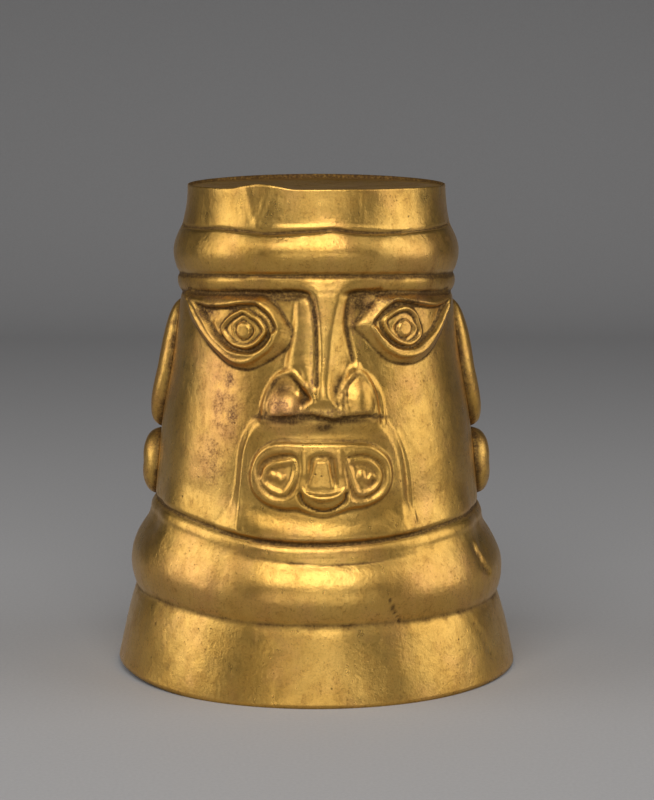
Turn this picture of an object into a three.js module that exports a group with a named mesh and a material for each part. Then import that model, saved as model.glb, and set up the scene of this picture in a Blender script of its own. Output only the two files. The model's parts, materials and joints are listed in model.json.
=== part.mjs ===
import * as THREE from "three";

// A beaker of hammered gold sheet with a face in relief, standing on its flared mouth, closed end up.
// Millimetres, +Z up. The face looks along -Y, and the origin is on the ground under the middle.
// Angles run round the wall from the front, towards +X. A height on the wall is called its level.

// The sheet, and the gap that soldered pieces keep to each other
const SHEET = 0.7;
const SEAM = 0.3;

// The wall is a stack of bands from the mouth up. Each has its height, the radius at its top edge,
// and a swell by which its middle stands out from the straight line between its edges.
const MOUTH_RADIUS = 83;
const FLARE_HEIGHT = 30.5;
const FLARE_TOP_RADIUS = 75.5;
const FLARE_SWELL = 0.4;
const CHIN_ROLL_HEIGHT = 30.1;
const CHIN_ROLL_TOP_RADIUS = 69;
const CHIN_ROLL_SWELL = 4.7;
const COLLAR_HEIGHT = 7;
const COLLAR_TOP_RADIUS = 67.2;
const COLLAR_SWELL = 0.8;
const CHEEK_HEIGHT = 49.4;
const CHEEK_TOP_RADIUS = 61.2;
const CHEEK_SWELL = 0.9;
const TEMPLE_HEIGHT = 39;
const TEMPLE_TOP_RADIUS = 55.8;
const TEMPLE_SWELL = -0.3;
const BROW_HEIGHT = 7.5;
const BROW_TOP_RADIUS = 56.7;
const BROW_SWELL = 0.9;
const CROWN_ROLL_HEIGHT = 20;
const CROWN_ROLL_TOP_RADIUS = 54.8;
const CROWN_ROLL_SWELL = 2.9;
const CROWN_BAND_HEIGHT = 16.5;
const CROWN_BAND_TOP_RADIUS = 52.9;
const CROWN_BAND_SWELL = -0.6;

// How far the bands' top edges climb at the front, as the hammered creases do round the face
const FLARE_CLIMB = 2;
const CHIN_ROLL_CLIMB = -5.2;
const COLLAR_CLIMB = -5;
const TEMPLE_CLIMB = 4.7;
const BROW_CLIMB = 3.8;
const CROWN_ROLL_CLIMB = 1;

// The mouth is bent up a little at both sides, more on the left
const MOUTH_BEND_LEFT = 3.2;
const MOUTH_BEND_RIGHT = 1.2;
const MOUTH_BEND_REACH = 26;

// The lip round the closed end, with one low wave in its edge
const LIP_STAND = 1.2;
const LIP_WAVE_HEIGHT = 2;
const LIP_WAVE_ANGLE = -25;
const LIP_WAVE_SPREAD = 17;

// The end plate sits on a ledge turned inwards from the wall
const PLATE_THICKNESS = 0.8;
const PLATE_DISH = 1.4;
const LEDGE_WIDTH = 2.6;
const LEDGE_THICKNESS = 0.8;

// The face stands a little right of the front. Its parts are placed across from its middle line,
// and up or down from the brow crease or the jaw crease.
const FACE_OFFSET = 2.7;
const EYE_ACROSS = 31.7;
const EYE_DROP = 15;
const EYE_FIELD_HEIGHT = 2.6;
const EYE_FIELD_EDGE = 2.4;
const LID_HEIGHT = 1.8;
const LID_HALF_WIDTH = 2.5;
const IRIS_HALF_WIDTH = 9.2;
const IRIS_HALF_HEIGHT = 7.3;
const IRIS_RIDGE_HEIGHT = 1.2;
const IRIS_RIDGE_HALF_WIDTH = 1.8;
const PUPIL_RADIUS = 3.8;
const PUPIL_HEIGHT = 1.8;
const NOSE_LENGTH = 48;
const NOSE_LEAN = 2.2;
const NOSE_BRIDGE_HEIGHT = 2.2;
const NOSE_TIP_HEIGHT = 8.5;
const NOSE_BRIDGE_HALF_WIDTH = 7.5;
const NOSE_TIP_HALF_WIDTH = 9.8;
const NOSE_UNDERSIDE = 2.4;
const NOSTRIL_ACROSS = 14.2;
const NOSTRIL_RISE = 7;
const NOSTRIL_HALF_WIDTH = 8.8;
const NOSTRIL_HALF_HEIGHT = 9.6;
const NOSTRIL_HEIGHT = 6;
const MUZZLE_HALF_WIDTH = 37.6;
const MUZZLE_HEIGHT = 2;
const MUZZLE_EDGE = 2.8;
const MOUTH_LEVEL = 27;
const MOUTH_HALF_WIDTH = 27.1;
const MOUTH_HALF_HEIGHT = 12.7;
const MOUTH_FRAME_HEIGHT = 2;
const MOUTH_FRAME_HALF_WIDTH = 2.8;
const MOUTH_RECESS = 1.2;
const TOOTH_HEIGHT = 2;
const TOOTH_LENGTH = 10.5;
const TOOTH_TOP_WIDTH = 5;
const TOOTH_BOTTOM_WIDTH = 8;
const TOOTH_EDGE = 1.8;
const DIVIDER_ACROSS = 7.7;
const DIVIDER_LENGTH = 12;
const DIVIDER_HALF_WIDTH = 2;
const TUSK_ACROSS = 16.8;
const TUSK_RADIUS = 6.6;
const TUSK_HEIGHT = 2;
const LIP_DROP = 8;
const LIP_HALF_WIDTH = 8;
const TONGUE_DROP = 9.5;
const TONGUE_HALF_WIDTH = 7.6;
const TONGUE_HALF_HEIGHT = 4.6;
const TONGUE_HEIGHT = 1.8;

// The ears are raised shells of the same sheet, each with a round spool under it
const EAR_FRONT_ANGLE = 86.5;
const EAR_DROP = 4.3;
const EAR_LENGTH = 54.4;
const EAR_WIDTH = 26;
const EAR_STAND = 6.4;
const EAR_DISH = 2.6;
const SPOOL_DIAMETER = 28.2;
const SPOOL_STAND = 6.8;
const SPOOL_DISH = 1.2;

// A shell's crown is squarer than a circle by this power, and its dish covers this share of it
const SHELL_POWER = 2.4;
const DISH_SHARE = 0.6;

// How finely the surfaces are cut
const COLUMNS = 48;
const FACE_HALF_COLUMNS = 11;
const FACE_SPLIT = 3;
const FACE_CELL = 2.6;
const HOLLOW_CELL = 5.5;
const LEAST_ROW = 1;
const PATH_STEPS = 5;
const EAR_SPOKES = 24;
const EAR_RINGS = 6;
const SPOOL_SPOKES = 20;
const SPOOL_RINGS = 5;

const gold = () => new THREE.MeshStandardMaterial({ color: 0xc8963c, roughness: 0.28, metalness: 1 });
const darkGold = () => new THREE.MeshStandardMaterial({ color: 0x9c7430, roughness: 0.36, metalness: 1 });

const radians = THREE.MathUtils.degToRad;
const mix = THREE.MathUtils.lerp;
const ease = (x) => THREE.MathUtils.smoothstep(x, 0, 1);

// The bands with their levels worked out from the mouth up
const bands = [];
function addBand(height, topRadius, swell, climb, rows) {
  const below = bands.at(-1) ?? { top: 0, topRadius: MOUTH_RADIUS, climb: 0 };
  bands.push({
    bottom: below.top,
    top: below.top + height,
    bottomRadius: below.topRadius,
    topRadius,
    swell,
    bottomClimb: below.climb,
    climb,
    rows,
  });
  return bands.at(-1);
}
addBand(FLARE_HEIGHT, FLARE_TOP_RADIUS, FLARE_SWELL, FLARE_CLIMB, 3);
addBand(CHIN_ROLL_HEIGHT, CHIN_ROLL_TOP_RADIUS, CHIN_ROLL_SWELL, CHIN_ROLL_CLIMB, 7);
const collar = addBand(COLLAR_HEIGHT, COLLAR_TOP_RADIUS, COLLAR_SWELL, COLLAR_CLIMB, 2);
addBand(CHEEK_HEIGHT, CHEEK_TOP_RADIUS, CHEEK_SWELL, 0, 5);
const temple = addBand(TEMPLE_HEIGHT, TEMPLE_TOP_RADIUS, TEMPLE_SWELL, TEMPLE_CLIMB, 4);
const brow = addBand(BROW_HEIGHT, BROW_TOP_RADIUS, BROW_SWELL, BROW_CLIMB, 2);
addBand(CROWN_ROLL_HEIGHT, CROWN_ROLL_TOP_RADIUS, CROWN_ROLL_SWELL, CROWN_ROLL_CLIMB, 5);
const crownBand = addBand(CROWN_BAND_HEIGHT, CROWN_BAND_TOP_RADIUS, CROWN_BAND_SWELL, 0, 3);

const lipLevel = crownBand.top;
const plateTop = lipLevel - LIP_STAND;
const ledgeTop = plateTop - PLATE_THICKNESS - SEAM;
const ledgeBottom = ledgeTop - LEDGE_THICKNESS;
const boreRadius = Math.min(radiusAt(ledgeBottom), CROWN_BAND_TOP_RADIUS) - SHEET;
const browFront = temple.top + TEMPLE_CLIMB;
const jawFront = collar.top + COLLAR_CLIMB;

function bandAt(level) {
  return bands.find((band) => level <= band.top) ?? crownBand;
}

function radiusAt(level) {
  const band = bandAt(level);
  const share = (level - band.bottom) / (band.top - band.bottom);
  return mix(band.bottomRadius, band.topRadius, share) + band.swell * Math.sin(Math.PI * share);
}

// The height of a point of the wall above the ground, with the climb of its crease at the front,
// the bend of the mouth and the wave of the lip
function heightAt(angle, level) {
  const band = bandAt(level);
  const share = (level - band.bottom) / (band.top - band.bottom);
  const front = Math.max(0, Math.cos(angle)) ** 2;
  const side = Math.max(0, 2 * Math.abs(Math.sin(angle)) - 1) ** 2;
  const bend = Math.sin(angle) < 0 ? MOUTH_BEND_LEFT : MOUTH_BEND_RIGHT;
  const nearMouth = Math.max(0, 1 - level / MOUTH_BEND_REACH);
  const fromWave = (angle - radians(LIP_WAVE_ANGLE)) / radians(LIP_WAVE_SPREAD);
  const wave = Math.max(0, 1 - fromWave * fromWave) ** 2 * LIP_WAVE_HEIGHT;
  const nearLip = ease((level - ledgeTop) / (lipLevel - ledgeTop));
  return level + mix(band.bottomClimb, band.climb, share) * front + bend * side * nearMouth + wave * nearLip;
}

function onWall(angle, radius, height) {
  return [radius * Math.sin(angle), -radius * Math.cos(angle), height];
}

// Relief is drawn on the unrolled wall: x is measured across from the middle line of the face, y up.
function straightPath(points) {
  return points.map(([x, y]) => new THREE.Vector3(x, y, 0));
}

function smoothPath(points, closed = false) {
  return new THREE.CatmullRomCurve3(straightPath(points), closed).getPoints(points.length * PATH_STEPS);
}

// The distance from a point to a path, and how far along the path its nearest point lies, from 0 to 1
function nearest(path, x, y) {
  let best = { distance: Infinity, along: 0 };
  for (let i = 0; i + 1 < path.length; i++) {
    const [a, b] = [path[i], path[i + 1]];
    const [dx, dy] = [b.x - a.x, b.y - a.y];
    const lengthSquared = dx * dx + dy * dy || 1;
    const t = THREE.MathUtils.clamp(((x - a.x) * dx + (y - a.y) * dy) / lengthSquared, 0, 1);
    const distance = Math.hypot(x - a.x - t * dx, y - a.y - t * dy);
    if (distance < best.distance) best = { distance, along: (i + t) / (path.length - 1) };
  }
  return best;
}

function isInside(path, x, y) {
  let inside = false;
  for (let i = 0; i + 1 < path.length; i++) {
    const [a, b] = [path[i], path[i + 1]];
    const crosses = a.y > y !== b.y > y;
    if (crosses && x < a.x + ((y - a.y) / (b.y - a.y)) * (b.x - a.x)) inside = !inside;
  }
  return inside;
}

// A rounded ridge along a path. Its size may change evenly from the path's start to its end.
function ridge(path, x, y, startHeight, startHalf, endHeight = startHeight, endHalf = startHalf) {
  const { distance, along } = nearest(path, x, y);
  const share = distance / mix(startHalf, endHalf, along);
  return share < 1 ? mix(startHeight, endHeight, along) * (1 - share * share) : 0;
}

// A raised field with a sloping edge of the given width
function field(path, x, y, height, edge) {
  const { distance } = nearest(path, x, y);
  const inwards = isInside(path, x, y) ? distance : -distance;
  return height * ease(inwards / edge + 0.5);
}

function dome(x, y, halfWidth, halfHeight, height) {
  const share = Math.hypot(x / halfWidth, y / halfHeight);
  return share < 1 ? height * Math.sqrt(1 - share * share) : 0;
}

function roundedOutline(halfWidth, halfHeight, power, count = 40) {
  const round = (value) => Math.sign(value) * Math.abs(value) ** (2 / power);
  return Array.from({ length: count + 1 }, (_, i) => {
    const turn = (2 * Math.PI * i) / count;
    return new THREE.Vector3(halfWidth * round(Math.cos(turn)), halfHeight * round(Math.sin(turn)), 0);
  });
}

// The winged field of one eye and its lids, drawn from the middle of its iris, the nose to the left
const eyeFieldPath = [
  ...smoothPath([[-20, -1], [-17.7, 6], [-11.7, 12.5], [-1.7, 14.2], [14.3, 13], [35.3, 13]]),
  ...smoothPath(
    [[36.3, 5.5], [24.3, -5], [11.3, -13.5], [2.3, -15], [-6.7, -12.8], [-14.7, -6.5], [-20, -1]]),
];
const upperLidPath = smoothPath(
  [[-19.9, 0], [-15.7, 5.4], [-11.7, 9.2], [-6.7, 12.4], [6.3, 11.5], [13.3, 10], [28.3, 11]]);
const lowerLidPath = smoothPath(
  [[28.3, 9], [20.3, -0.5], [12.3, -7.3], [4.3, -11], [-3.7, -10], [-9.7, -4.5], [-13.7, 0.5]]);
const irisPath = roundedOutline(IRIS_HALF_WIDTH, IRIS_HALF_HEIGHT, 1.8);

function eyeRelief(x, y) {
  const [across, up] = [Math.abs(x) - EYE_ACROSS, y + EYE_DROP];
  const raised = field(eyeFieldPath, across, up, EYE_FIELD_HEIGHT, EYE_FIELD_EDGE);
  const upper = ridge(upperLidPath, across, up, LID_HEIGHT, LID_HALF_WIDTH);
  const lower = ridge(lowerLidPath, across, up, LID_HEIGHT, LID_HALF_WIDTH);
  const iris = ridge(irisPath, across, up, IRIS_RIDGE_HEIGHT, IRIS_RIDGE_HALF_WIDTH);
  const pupil = dome(across, up, PUPIL_RADIUS, PUPIL_RADIUS, PUPIL_HEIGHT);
  return raised + Math.max(upper, lower, iris, pupil);
}

// The nose hangs from the brow, leans a little, and ends in a flat underside with a nostril at each side.
const nosePath = smoothPath([[2.8, 1], [2.2, -NOSE_LENGTH / 2], [2.8 - NOSE_LEAN, -NOSE_LENGTH]]);

function noseRelief(x, y) {
  const bridge = ridge(
    nosePath, x, y, NOSE_BRIDGE_HEIGHT, NOSE_BRIDGE_HALF_WIDTH, NOSE_TIP_HEIGHT, NOSE_TIP_HALF_WIDTH);
  const fromUnderside = y + NOSE_LENGTH;
  const [across, up] = [Math.abs(x) - NOSTRIL_ACROSS, fromUnderside - NOSTRIL_RISE];
  const nostril = dome(across, up, NOSTRIL_HALF_WIDTH, NOSTRIL_HALF_HEIGHT, NOSTRIL_HEIGHT);
  return Math.max(bridge, nostril) * ease(fromUnderside / NOSE_UNDERSIDE + 0.5);
}

// The muzzle, measured up from the jaw crease, narrows to the width of the nose at its top
const muzzleTop = browFront - NOSE_LENGTH - jawFront;
const muzzleSide = [[-15.6, -0.6], [-9.6, -4.6], [-4.6, -13.1], [-1.6, -20.1], [-0.3, -32.1]]
  .map(([inwards, down]) => [MUZZLE_HALF_WIDTH + inwards, muzzleTop + down])
  .concat([[MUZZLE_HALF_WIDTH, 2]]);
const muzzlePath = smoothPath(muzzleSide.concat(muzzleSide.map(([x, y]) => [-x, y]).reverse()), true);

// The mouth is a frame round a recess, with two tusks, a tooth between two dividers, and a tongue
const mouthPath = roundedOutline(MOUTH_HALF_WIDTH, MOUTH_HALF_HEIGHT, 3.1);
const toothPath = straightPath([
  [-TOOTH_TOP_WIDTH / 2, TOOTH_LENGTH / 2],
  [TOOTH_TOP_WIDTH / 2, TOOTH_LENGTH / 2],
  [TOOTH_BOTTOM_WIDTH / 2, -TOOTH_LENGTH / 2],
  [-TOOTH_BOTTOM_WIDTH / 2, -TOOTH_LENGTH / 2],
  [-TOOTH_TOP_WIDTH / 2, TOOTH_LENGTH / 2],
]);
const dividerPath = straightPath([
  [DIVIDER_ACROSS, (2 / 3) * DIVIDER_LENGTH],
  [DIVIDER_ACROSS, (-1 / 3) * DIVIDER_LENGTH],
]);
const lipPath = smoothPath(
  [-1, -0.56, 0, 0.56, 1].map((share) => [LIP_HALF_WIDTH * share, -LIP_DROP * (1 - 0.42 * share * share)]));

function mouthRelief(x, y) {
  const muzzle = field(muzzlePath, x, y, MUZZLE_HEIGHT, MUZZLE_EDGE);
  const [across, up] = [Math.abs(x), y - MOUTH_LEVEL];
  const frame = ridge(mouthPath, x, up, MOUTH_FRAME_HEIGHT, MOUTH_FRAME_HALF_WIDTH);
  const recess = field(mouthPath, x, up, -MOUTH_RECESS, MOUTH_FRAME_HALF_WIDTH);
  const tooth = field(toothPath, x, up, TOOTH_HEIGHT, TOOTH_EDGE);
  const divider = ridge(dividerPath, across, up, TOOTH_HEIGHT, DIVIDER_HALF_WIDTH);
  const tusk = dome(across - TUSK_ACROSS, up, TUSK_RADIUS, TUSK_RADIUS, TUSK_HEIGHT);
  const lip = ridge(lipPath, x, up, TONGUE_HEIGHT, DIVIDER_HALF_WIDTH);
  const tongue = dome(x, up + TONGUE_DROP, TONGUE_HALF_WIDTH, TONGUE_HALF_HEIGHT, TONGUE_HEIGHT);
  return muzzle + frame + recess + Math.max(tooth, divider, tusk, lip, tongue);
}

function reliefAt(angle, level) {
  const height = heightAt(angle, level);
  const x = angle * radiusAt(level) - FACE_OFFSET;
  if (level < collar.top || level > brow.top) return 0;
  const nearJaw = ease((level - collar.top) / COLLAR_HEIGHT);
  const nearBrow = ease((brow.top - level) / (BROW_HEIGHT / 2));
  const face = eyeRelief(x, height - browFront) + mouthRelief(x, height - jawFront) * nearJaw;
  return Math.max(face, noseRelief(x, height - browFront)) * nearBrow;
}

// A closed skin made of quads. Corners that two quads share are one vertex.
class Skin {
  constructor() {
    this.positions = [];
    this.faces = [];
  }
  vertex(point) {
    this.positions.push(...point);
    return this.positions.length / 3 - 1;
  }
  // Triangles from one vertex to each edge of a row of others
  fan(apex, row) {
    row.slice(1).forEach((corner, i) => this.faces.push(apex, row[i], corner));
  }
  length(a, b) {
    const step = (axis) => this.positions[3 * a + axis] - this.positions[3 * b + axis];
    return Math.hypot(step(0), step(1), step(2));
  }
  // Two triangles, split along the shorter diagonal, which follows the ridges better
  quad(a, b, c, d) {
    if (this.length(a, c) <= this.length(b, d)) this.faces.push(a, b, c, a, c, d);
    else this.faces.push(a, b, d, b, c, d);
  }
  // Quads between two loops of as many vertices, the second lying to the left of the first
  strip(first, second) {
    first.forEach((corner, i) => {
      const next = (i + 1) % first.length;
      this.quad(corner, first[next], second[next], second[i]);
    });
  }
  geometry() {
    const made = new THREE.BufferGeometry();
    made.setAttribute("position", new THREE.Float32BufferAttribute(this.positions, 3));
    made.setIndex(this.faces);
    made.computeVertexNormals();
    return made;
  }
}

// The wall's levels from the mouth up to a highest one, a row for each
function wallLevels(highest) {
  const levels = [0];
  for (const band of bands)
    for (let row = 1; row <= band.rows; row++) levels.push(mix(band.bottom, band.top, row / band.rows));
  return levels.filter((level) => level < highest - LEAST_ROW).concat(highest);
}

// One skin of the wall, with coarse cells all round and finer ones over the face. Returns its end loops.
function wallSkin(skin, levels, split, cell, pointAt, outwards) {
  const known = new Map();
  const vertex = (column, row) => {
    const turned = ((column % COLUMNS) + COLUMNS) % COLUMNS;
    const key = turned.toFixed(4) + " " + row.toFixed(4);
    if (!known.has(key)) {
      const below = Math.min(Math.floor(row), levels.length - 2);
      const level = mix(levels[below], levels[below + 1], row - below);
      const signed = turned > COLUMNS / 2 ? turned - COLUMNS : turned;
      known.set(key, skin.vertex(pointAt((2 * Math.PI * signed) / COLUMNS, level)));
    }
    return known.get(key);
  };
  const inFace = (column, row) => {
    const turned = ((column % COLUMNS) + COLUMNS) % COLUMNS;
    const middle = turned >= COLUMNS / 2 ? turned - COLUMNS : turned;
    if (middle < -FACE_HALF_COLUMNS || middle >= FACE_HALF_COLUMNS) return false;
    return levels[row] >= collar.top - 0.01 && levels[row + 1] <= brow.top + 0.01;
  };
  const rowSplit = (row) => Math.max(1, Math.round((levels[row + 1] - levels[row]) / cell));
  const steps = (count, fine) => Array.from({ length: fine ? count : 1 }, (_, i) => i / (fine ? count : 1));
  const turn = (corners) => (outwards ? corners : corners.reverse());
  for (let row = 0; row + 1 < levels.length; row++)
    for (let column = 0; column < COLUMNS; column++) {
      const rows = rowSplit(row);
      if (inFace(column, row)) {
        for (let i = 0; i < split; i++)
          for (let j = 0; j < rows; j++) {
            const [left, right] = [column + i / split, column + (i + 1) / split];
            const [low, high] = [row + j / rows, row + (j + 1) / rows];
            const corners = [vertex(left, low), vertex(right, low), vertex(right, high), vertex(left, high)];
            skin.quad(...turn(corners));
          }
        continue;
      }
      const corners = [
        ...steps(split, inFace(column, row - 1)).map((t) => vertex(column + t, row)),
        ...steps(rows, inFace(column + 1, row)).map((t) => vertex(column + 1, row + t)),
        ...steps(split, inFace(column, row + 1)).map((t) => vertex(column + 1 - t, row + 1)),
        ...steps(rows, inFace(column - 1, row)).map((t) => vertex(column, row + 1 - t)),
      ];
      // A cell with a finer neighbour is a fan from a corner that lies across from it
      const finerAfter = inFace(column + 1, row) || inFace(column, row + 1);
      const apex = vertex(column + (finerAfter ? 0 : 1), row + (finerAfter ? 0 : 1));
      const start = corners.indexOf(apex);
      const others = [...corners.slice(start + 1), ...corners.slice(0, start)];
      if (corners.length === 4) skin.quad(...turn(corners));
      else skin.fan(apex, turn(others));
    }
  const loop = (row) => Array.from({ length: COLUMNS }, (_, column) => vertex(column, row));
  return { bottom: loop(0), top: loop(levels.length - 1) };
}

// The sheet is hammered out from within, so the inside follows the broad forms of the relief.
// The least relief round a point keeps the coarser inner skin clear of the outer one.
function hollowAt(angle, level) {
  const [steps, column] = [4, (2 * Math.PI) / COLUMNS];
  let least = Infinity;
  for (let i = -steps; i <= steps; i++)
    for (let j = -steps; j <= steps; j++)
      least = Math.min(least, reliefAt(angle + (i * column) / steps, level + (j * HOLLOW_CELL) / steps));
  return least;
}

function vesselWall() {
  const skin = new Skin();
  const outerPoint = (angle, level) =>
    onWall(angle, radiusAt(level) + reliefAt(angle, level), heightAt(angle, level));
  const innerPoint = (angle, level) =>
    onWall(angle, radiusAt(level) + hollowAt(angle, level) - SHEET, heightAt(angle, level));
  const outer = wallSkin(skin, wallLevels(lipLevel), FACE_SPLIT, FACE_CELL, outerPoint, true);
  const inner = wallSkin(skin, wallLevels(ledgeBottom), 1, HOLLOW_CELL, innerPoint, false);
  const ring = (radius, level) =>
    Array.from({ length: COLUMNS }, (_, column) => {
      const angle = (2 * Math.PI * column) / COLUMNS;
      const signed = angle > Math.PI ? angle - 2 * Math.PI : angle;
      return skin.vertex(onWall(signed, radius, heightAt(signed, level)));
    });
  const ledgeRadius = boreRadius - LEDGE_WIDTH;
  const loops = [
    inner.top,
    ring(ledgeRadius, ledgeBottom),
    ring(ledgeRadius, ledgeTop),
    ring(boreRadius, ledgeTop),
    ring(boreRadius, lipLevel),
    outer.top,
  ];
  loops.slice(1).forEach((loop, i) => skin.strip(loop, loops[i]));
  skin.strip(inner.bottom, outer.bottom);
  return skin.geometry();
}

// A round plate, sunk a little in the middle, that closes the narrow end
function endPlate() {
  const radius = boreRadius - SEAM;
  const bottom = ledgeTop + SEAM;
  const flat = radius - LEDGE_WIDTH;
  const sunk = [0, 0.35, 0.7, 1].map((share) => [flat * share, -PLATE_DISH * (1 - share * share)]);
  const outline = [
    ...sunk.map(([r, drop]) => new THREE.Vector2(r, bottom + drop)),
    new THREE.Vector2(radius, bottom),
    new THREE.Vector2(radius, bottom + PLATE_THICKNESS),
    ...sunk.reverse().map(([r, drop]) => new THREE.Vector2(r, bottom + PLATE_THICKNESS + drop)),
  ];
  return new THREE.LatheGeometry(outline, COLUMNS).rotateX(Math.PI / 2);
}

// A raised oval shell on the wall, open behind, whose crown is dished in the middle.
// Its two skins share one shape and differ by the sheet.
function raisedShell({ angle, level, halfWidth, halfHeight, stand, dish, spokes, rings }) {
  const skin = new Skin();
  const layer = (inset) => {
    const loops = [];
    for (let ringIndex = 0; ringIndex < rings; ringIndex++) {
      const share = Math.cos((Math.PI / 2) * (ringIndex / rings));
      loops.push(
        Array.from({ length: spokes }, (_, i) => {
          const turn = (2 * Math.PI * i) / spokes;
          return shellPoint(share, turn, inset);
        }),
      );
    }
    return { loops, centre: shellPoint(Math.cos(Math.PI / 2), 0, inset) };
  };
  const shellPoint = (share, turn, inset) => {
    const across = (halfWidth - inset) * share * Math.cos(turn);
    const up = (halfHeight - inset) * share * Math.sin(turn);
    const crown = (stand - inset) * Math.sqrt(Math.max(0, 1 - share ** SHELL_POWER));
    const sink = dish * ease(1 - share / DISH_SHARE) * (1 - inset / stand);
    const wall = radiusAt(level + up);
    return skin.vertex(onWall(angle + across / radiusAt(level), wall + SEAM + crown - sink, level + up));
  };
  const outer = layer(0);
  const inner = layer(SHEET);
  outer.loops.slice(1).forEach((loop, i) => skin.strip(outer.loops[i], loop));
  inner.loops.slice(1).forEach((loop, i) => skin.strip(loop, inner.loops[i]));
  skin.strip(inner.loops[0], outer.loops[0]);
  const closed = (loop) => [...loop, loop[0]];
  skin.fan(outer.centre, closed(outer.loops.at(-1)));
  skin.fan(inner.centre, closed(inner.loops.at(-1)).reverse());
  return skin.geometry();
}

function ear(side) {
  const level = temple.top - EAR_DROP - EAR_LENGTH / 2;
  return raisedShell({
    angle: side * (radians(EAR_FRONT_ANGLE) + EAR_WIDTH / 2 / radiusAt(level)),
    level,
    halfWidth: EAR_WIDTH / 2,
    halfHeight: EAR_LENGTH / 2,
    stand: EAR_STAND,
    dish: EAR_DISH,
    spokes: EAR_SPOKES,
    rings: EAR_RINGS,
  });
}

function earSpool(side) {
  const level = temple.top - EAR_DROP - EAR_LENGTH - SEAM - SPOOL_DIAMETER / 2;
  return raisedShell({
    angle: side * (radians(EAR_FRONT_ANGLE) + SPOOL_DIAMETER / 2 / radiusAt(level)),
    level,
    halfWidth: SPOOL_DIAMETER / 2,
    halfHeight: SPOOL_DIAMETER / 2,
    stand: SPOOL_STAND,
    dish: SPOOL_DISH,
    spokes: SPOOL_SPOKES,
    rings: SPOOL_RINGS,
  });
}

const beaker = new THREE.Group();
beaker.name = "gold_beaker";

function addPiece(name, geometry, material) {
  const mesh = new THREE.Mesh(geometry, material);
  mesh.name = name;
  beaker.add(mesh);
}

addPiece("vessel_wall", vesselWall(), gold());
addPiece("end_plate", endPlate(), darkGold());
for (const [name, side] of [["left", -1], ["right", 1]]) {
  addPiece("ear_" + name, ear(side), gold());
  addPiece("ear_spool_" + name, earSpool(side), gold());
}

export default beaker;
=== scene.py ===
import json
import math

import bpy
import numpy as np
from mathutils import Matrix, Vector, noise

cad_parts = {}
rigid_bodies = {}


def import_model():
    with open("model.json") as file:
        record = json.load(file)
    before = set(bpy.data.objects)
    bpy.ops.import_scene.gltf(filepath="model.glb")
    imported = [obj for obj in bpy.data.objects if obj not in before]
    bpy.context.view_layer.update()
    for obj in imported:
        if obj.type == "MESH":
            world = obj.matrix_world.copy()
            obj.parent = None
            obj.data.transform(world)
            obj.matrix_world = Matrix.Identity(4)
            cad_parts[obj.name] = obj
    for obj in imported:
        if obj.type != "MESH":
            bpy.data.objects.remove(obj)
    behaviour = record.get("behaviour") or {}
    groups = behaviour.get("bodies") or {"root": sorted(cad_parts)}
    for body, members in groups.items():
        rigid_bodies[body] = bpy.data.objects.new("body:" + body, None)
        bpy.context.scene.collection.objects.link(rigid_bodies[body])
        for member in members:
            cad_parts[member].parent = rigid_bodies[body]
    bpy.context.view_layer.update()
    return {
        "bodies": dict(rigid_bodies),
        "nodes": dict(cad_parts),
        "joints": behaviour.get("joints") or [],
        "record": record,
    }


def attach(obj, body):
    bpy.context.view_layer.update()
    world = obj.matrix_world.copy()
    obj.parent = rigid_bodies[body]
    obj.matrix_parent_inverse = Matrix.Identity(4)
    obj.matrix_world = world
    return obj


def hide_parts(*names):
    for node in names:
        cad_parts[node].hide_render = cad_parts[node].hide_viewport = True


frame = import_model()

# Sizes are millimetres until a mesh is made. Angles run round the wall from the front, towards +X.
# A level is a height on the wall before its creases climb or dip at the front.
MM = 0.001
SHEET = 0.7
SEAM = 0.3

# The bands of the wall from the mouth up: height, radius at the top edge, how far the middle swells
# out, how far the top edge climbs at the front, and how many rows of faces there are
MOUTH_RADIUS = 83.0
BANDS = {
    "flare": (30.5, 75.5, 0.4, 0.9, 20),
    "chin_roll": (30.1, 69.0, 4.7, -5.2, 30),
    "collar": (7.0, 67.2, 0.8, -5.0, 10),
    "cheek": (49.4, 61.2, 0.9, 0.0, 78),
    "temple": (39.0, 55.8, -0.3, 4.7, 78),
    "brow": (7.5, 56.7, 0.9, 3.8, 14),
    "crown_roll": (20.0, 54.8, 2.9, 1.0, 30),
    "crown_band": (16.5, 52.9, -0.6, 0.0, 24),
}
BANDS_TABLE = np.array(list(BANDS.values()))
TOPS = np.cumsum(BANDS_TABLE[:, 0])
BOTTOMS = TOPS - BANDS_TABLE[:, 0]
FLARE_TOP, CHIN_TOP, COLLAR_TOP, _, TEMPLE_TOP, BROW_TOP, CROWN_TOP, LIP_LEVEL = TOPS
EDGE_LEVELS = np.append(0.0, TOPS)
EDGE_RADII = np.append(MOUTH_RADIUS, BANDS_TABLE[:, 1])
EDGE_CLIMBS = np.append(0.0, BANDS_TABLE[:, 3])

# Rows of the inner face in each band, and columns round the wall: from, to and step in degrees
INNER_ROWS = [4, 9, 2, 17, 15, 4, 8, 4]
COLUMNS = [(-180, -76, 3), (-76, -40, 0.66), (-40, 44, 0.45), (44, 78, 0.66), (78, 180, 3)]

# How round the creases are, how sharply they climb or dip, and how flat the brow is in front
CREASE_ROUNDING = 0.55
CHIN_FOLD_ROUNDING = 2.2
CLIMB_POWER = 1.3
DIP_POWER = 2.8
BROW_FLATTENING = 0.4

# The creases round the chin lie higher at the left. The one under the crown band wavers: where in
# degrees, how wide and how high each wave is
LEFT_LIFT = 3.2
LIFT_FROM = math.radians(10)
LIFT_SPREAD = math.radians(55)
CROWN_WAVER = [(-20, 11, -0.9), (7, 6, 0.9), (30, 14, -0.9), (-45, 9, 0.4)]

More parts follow.
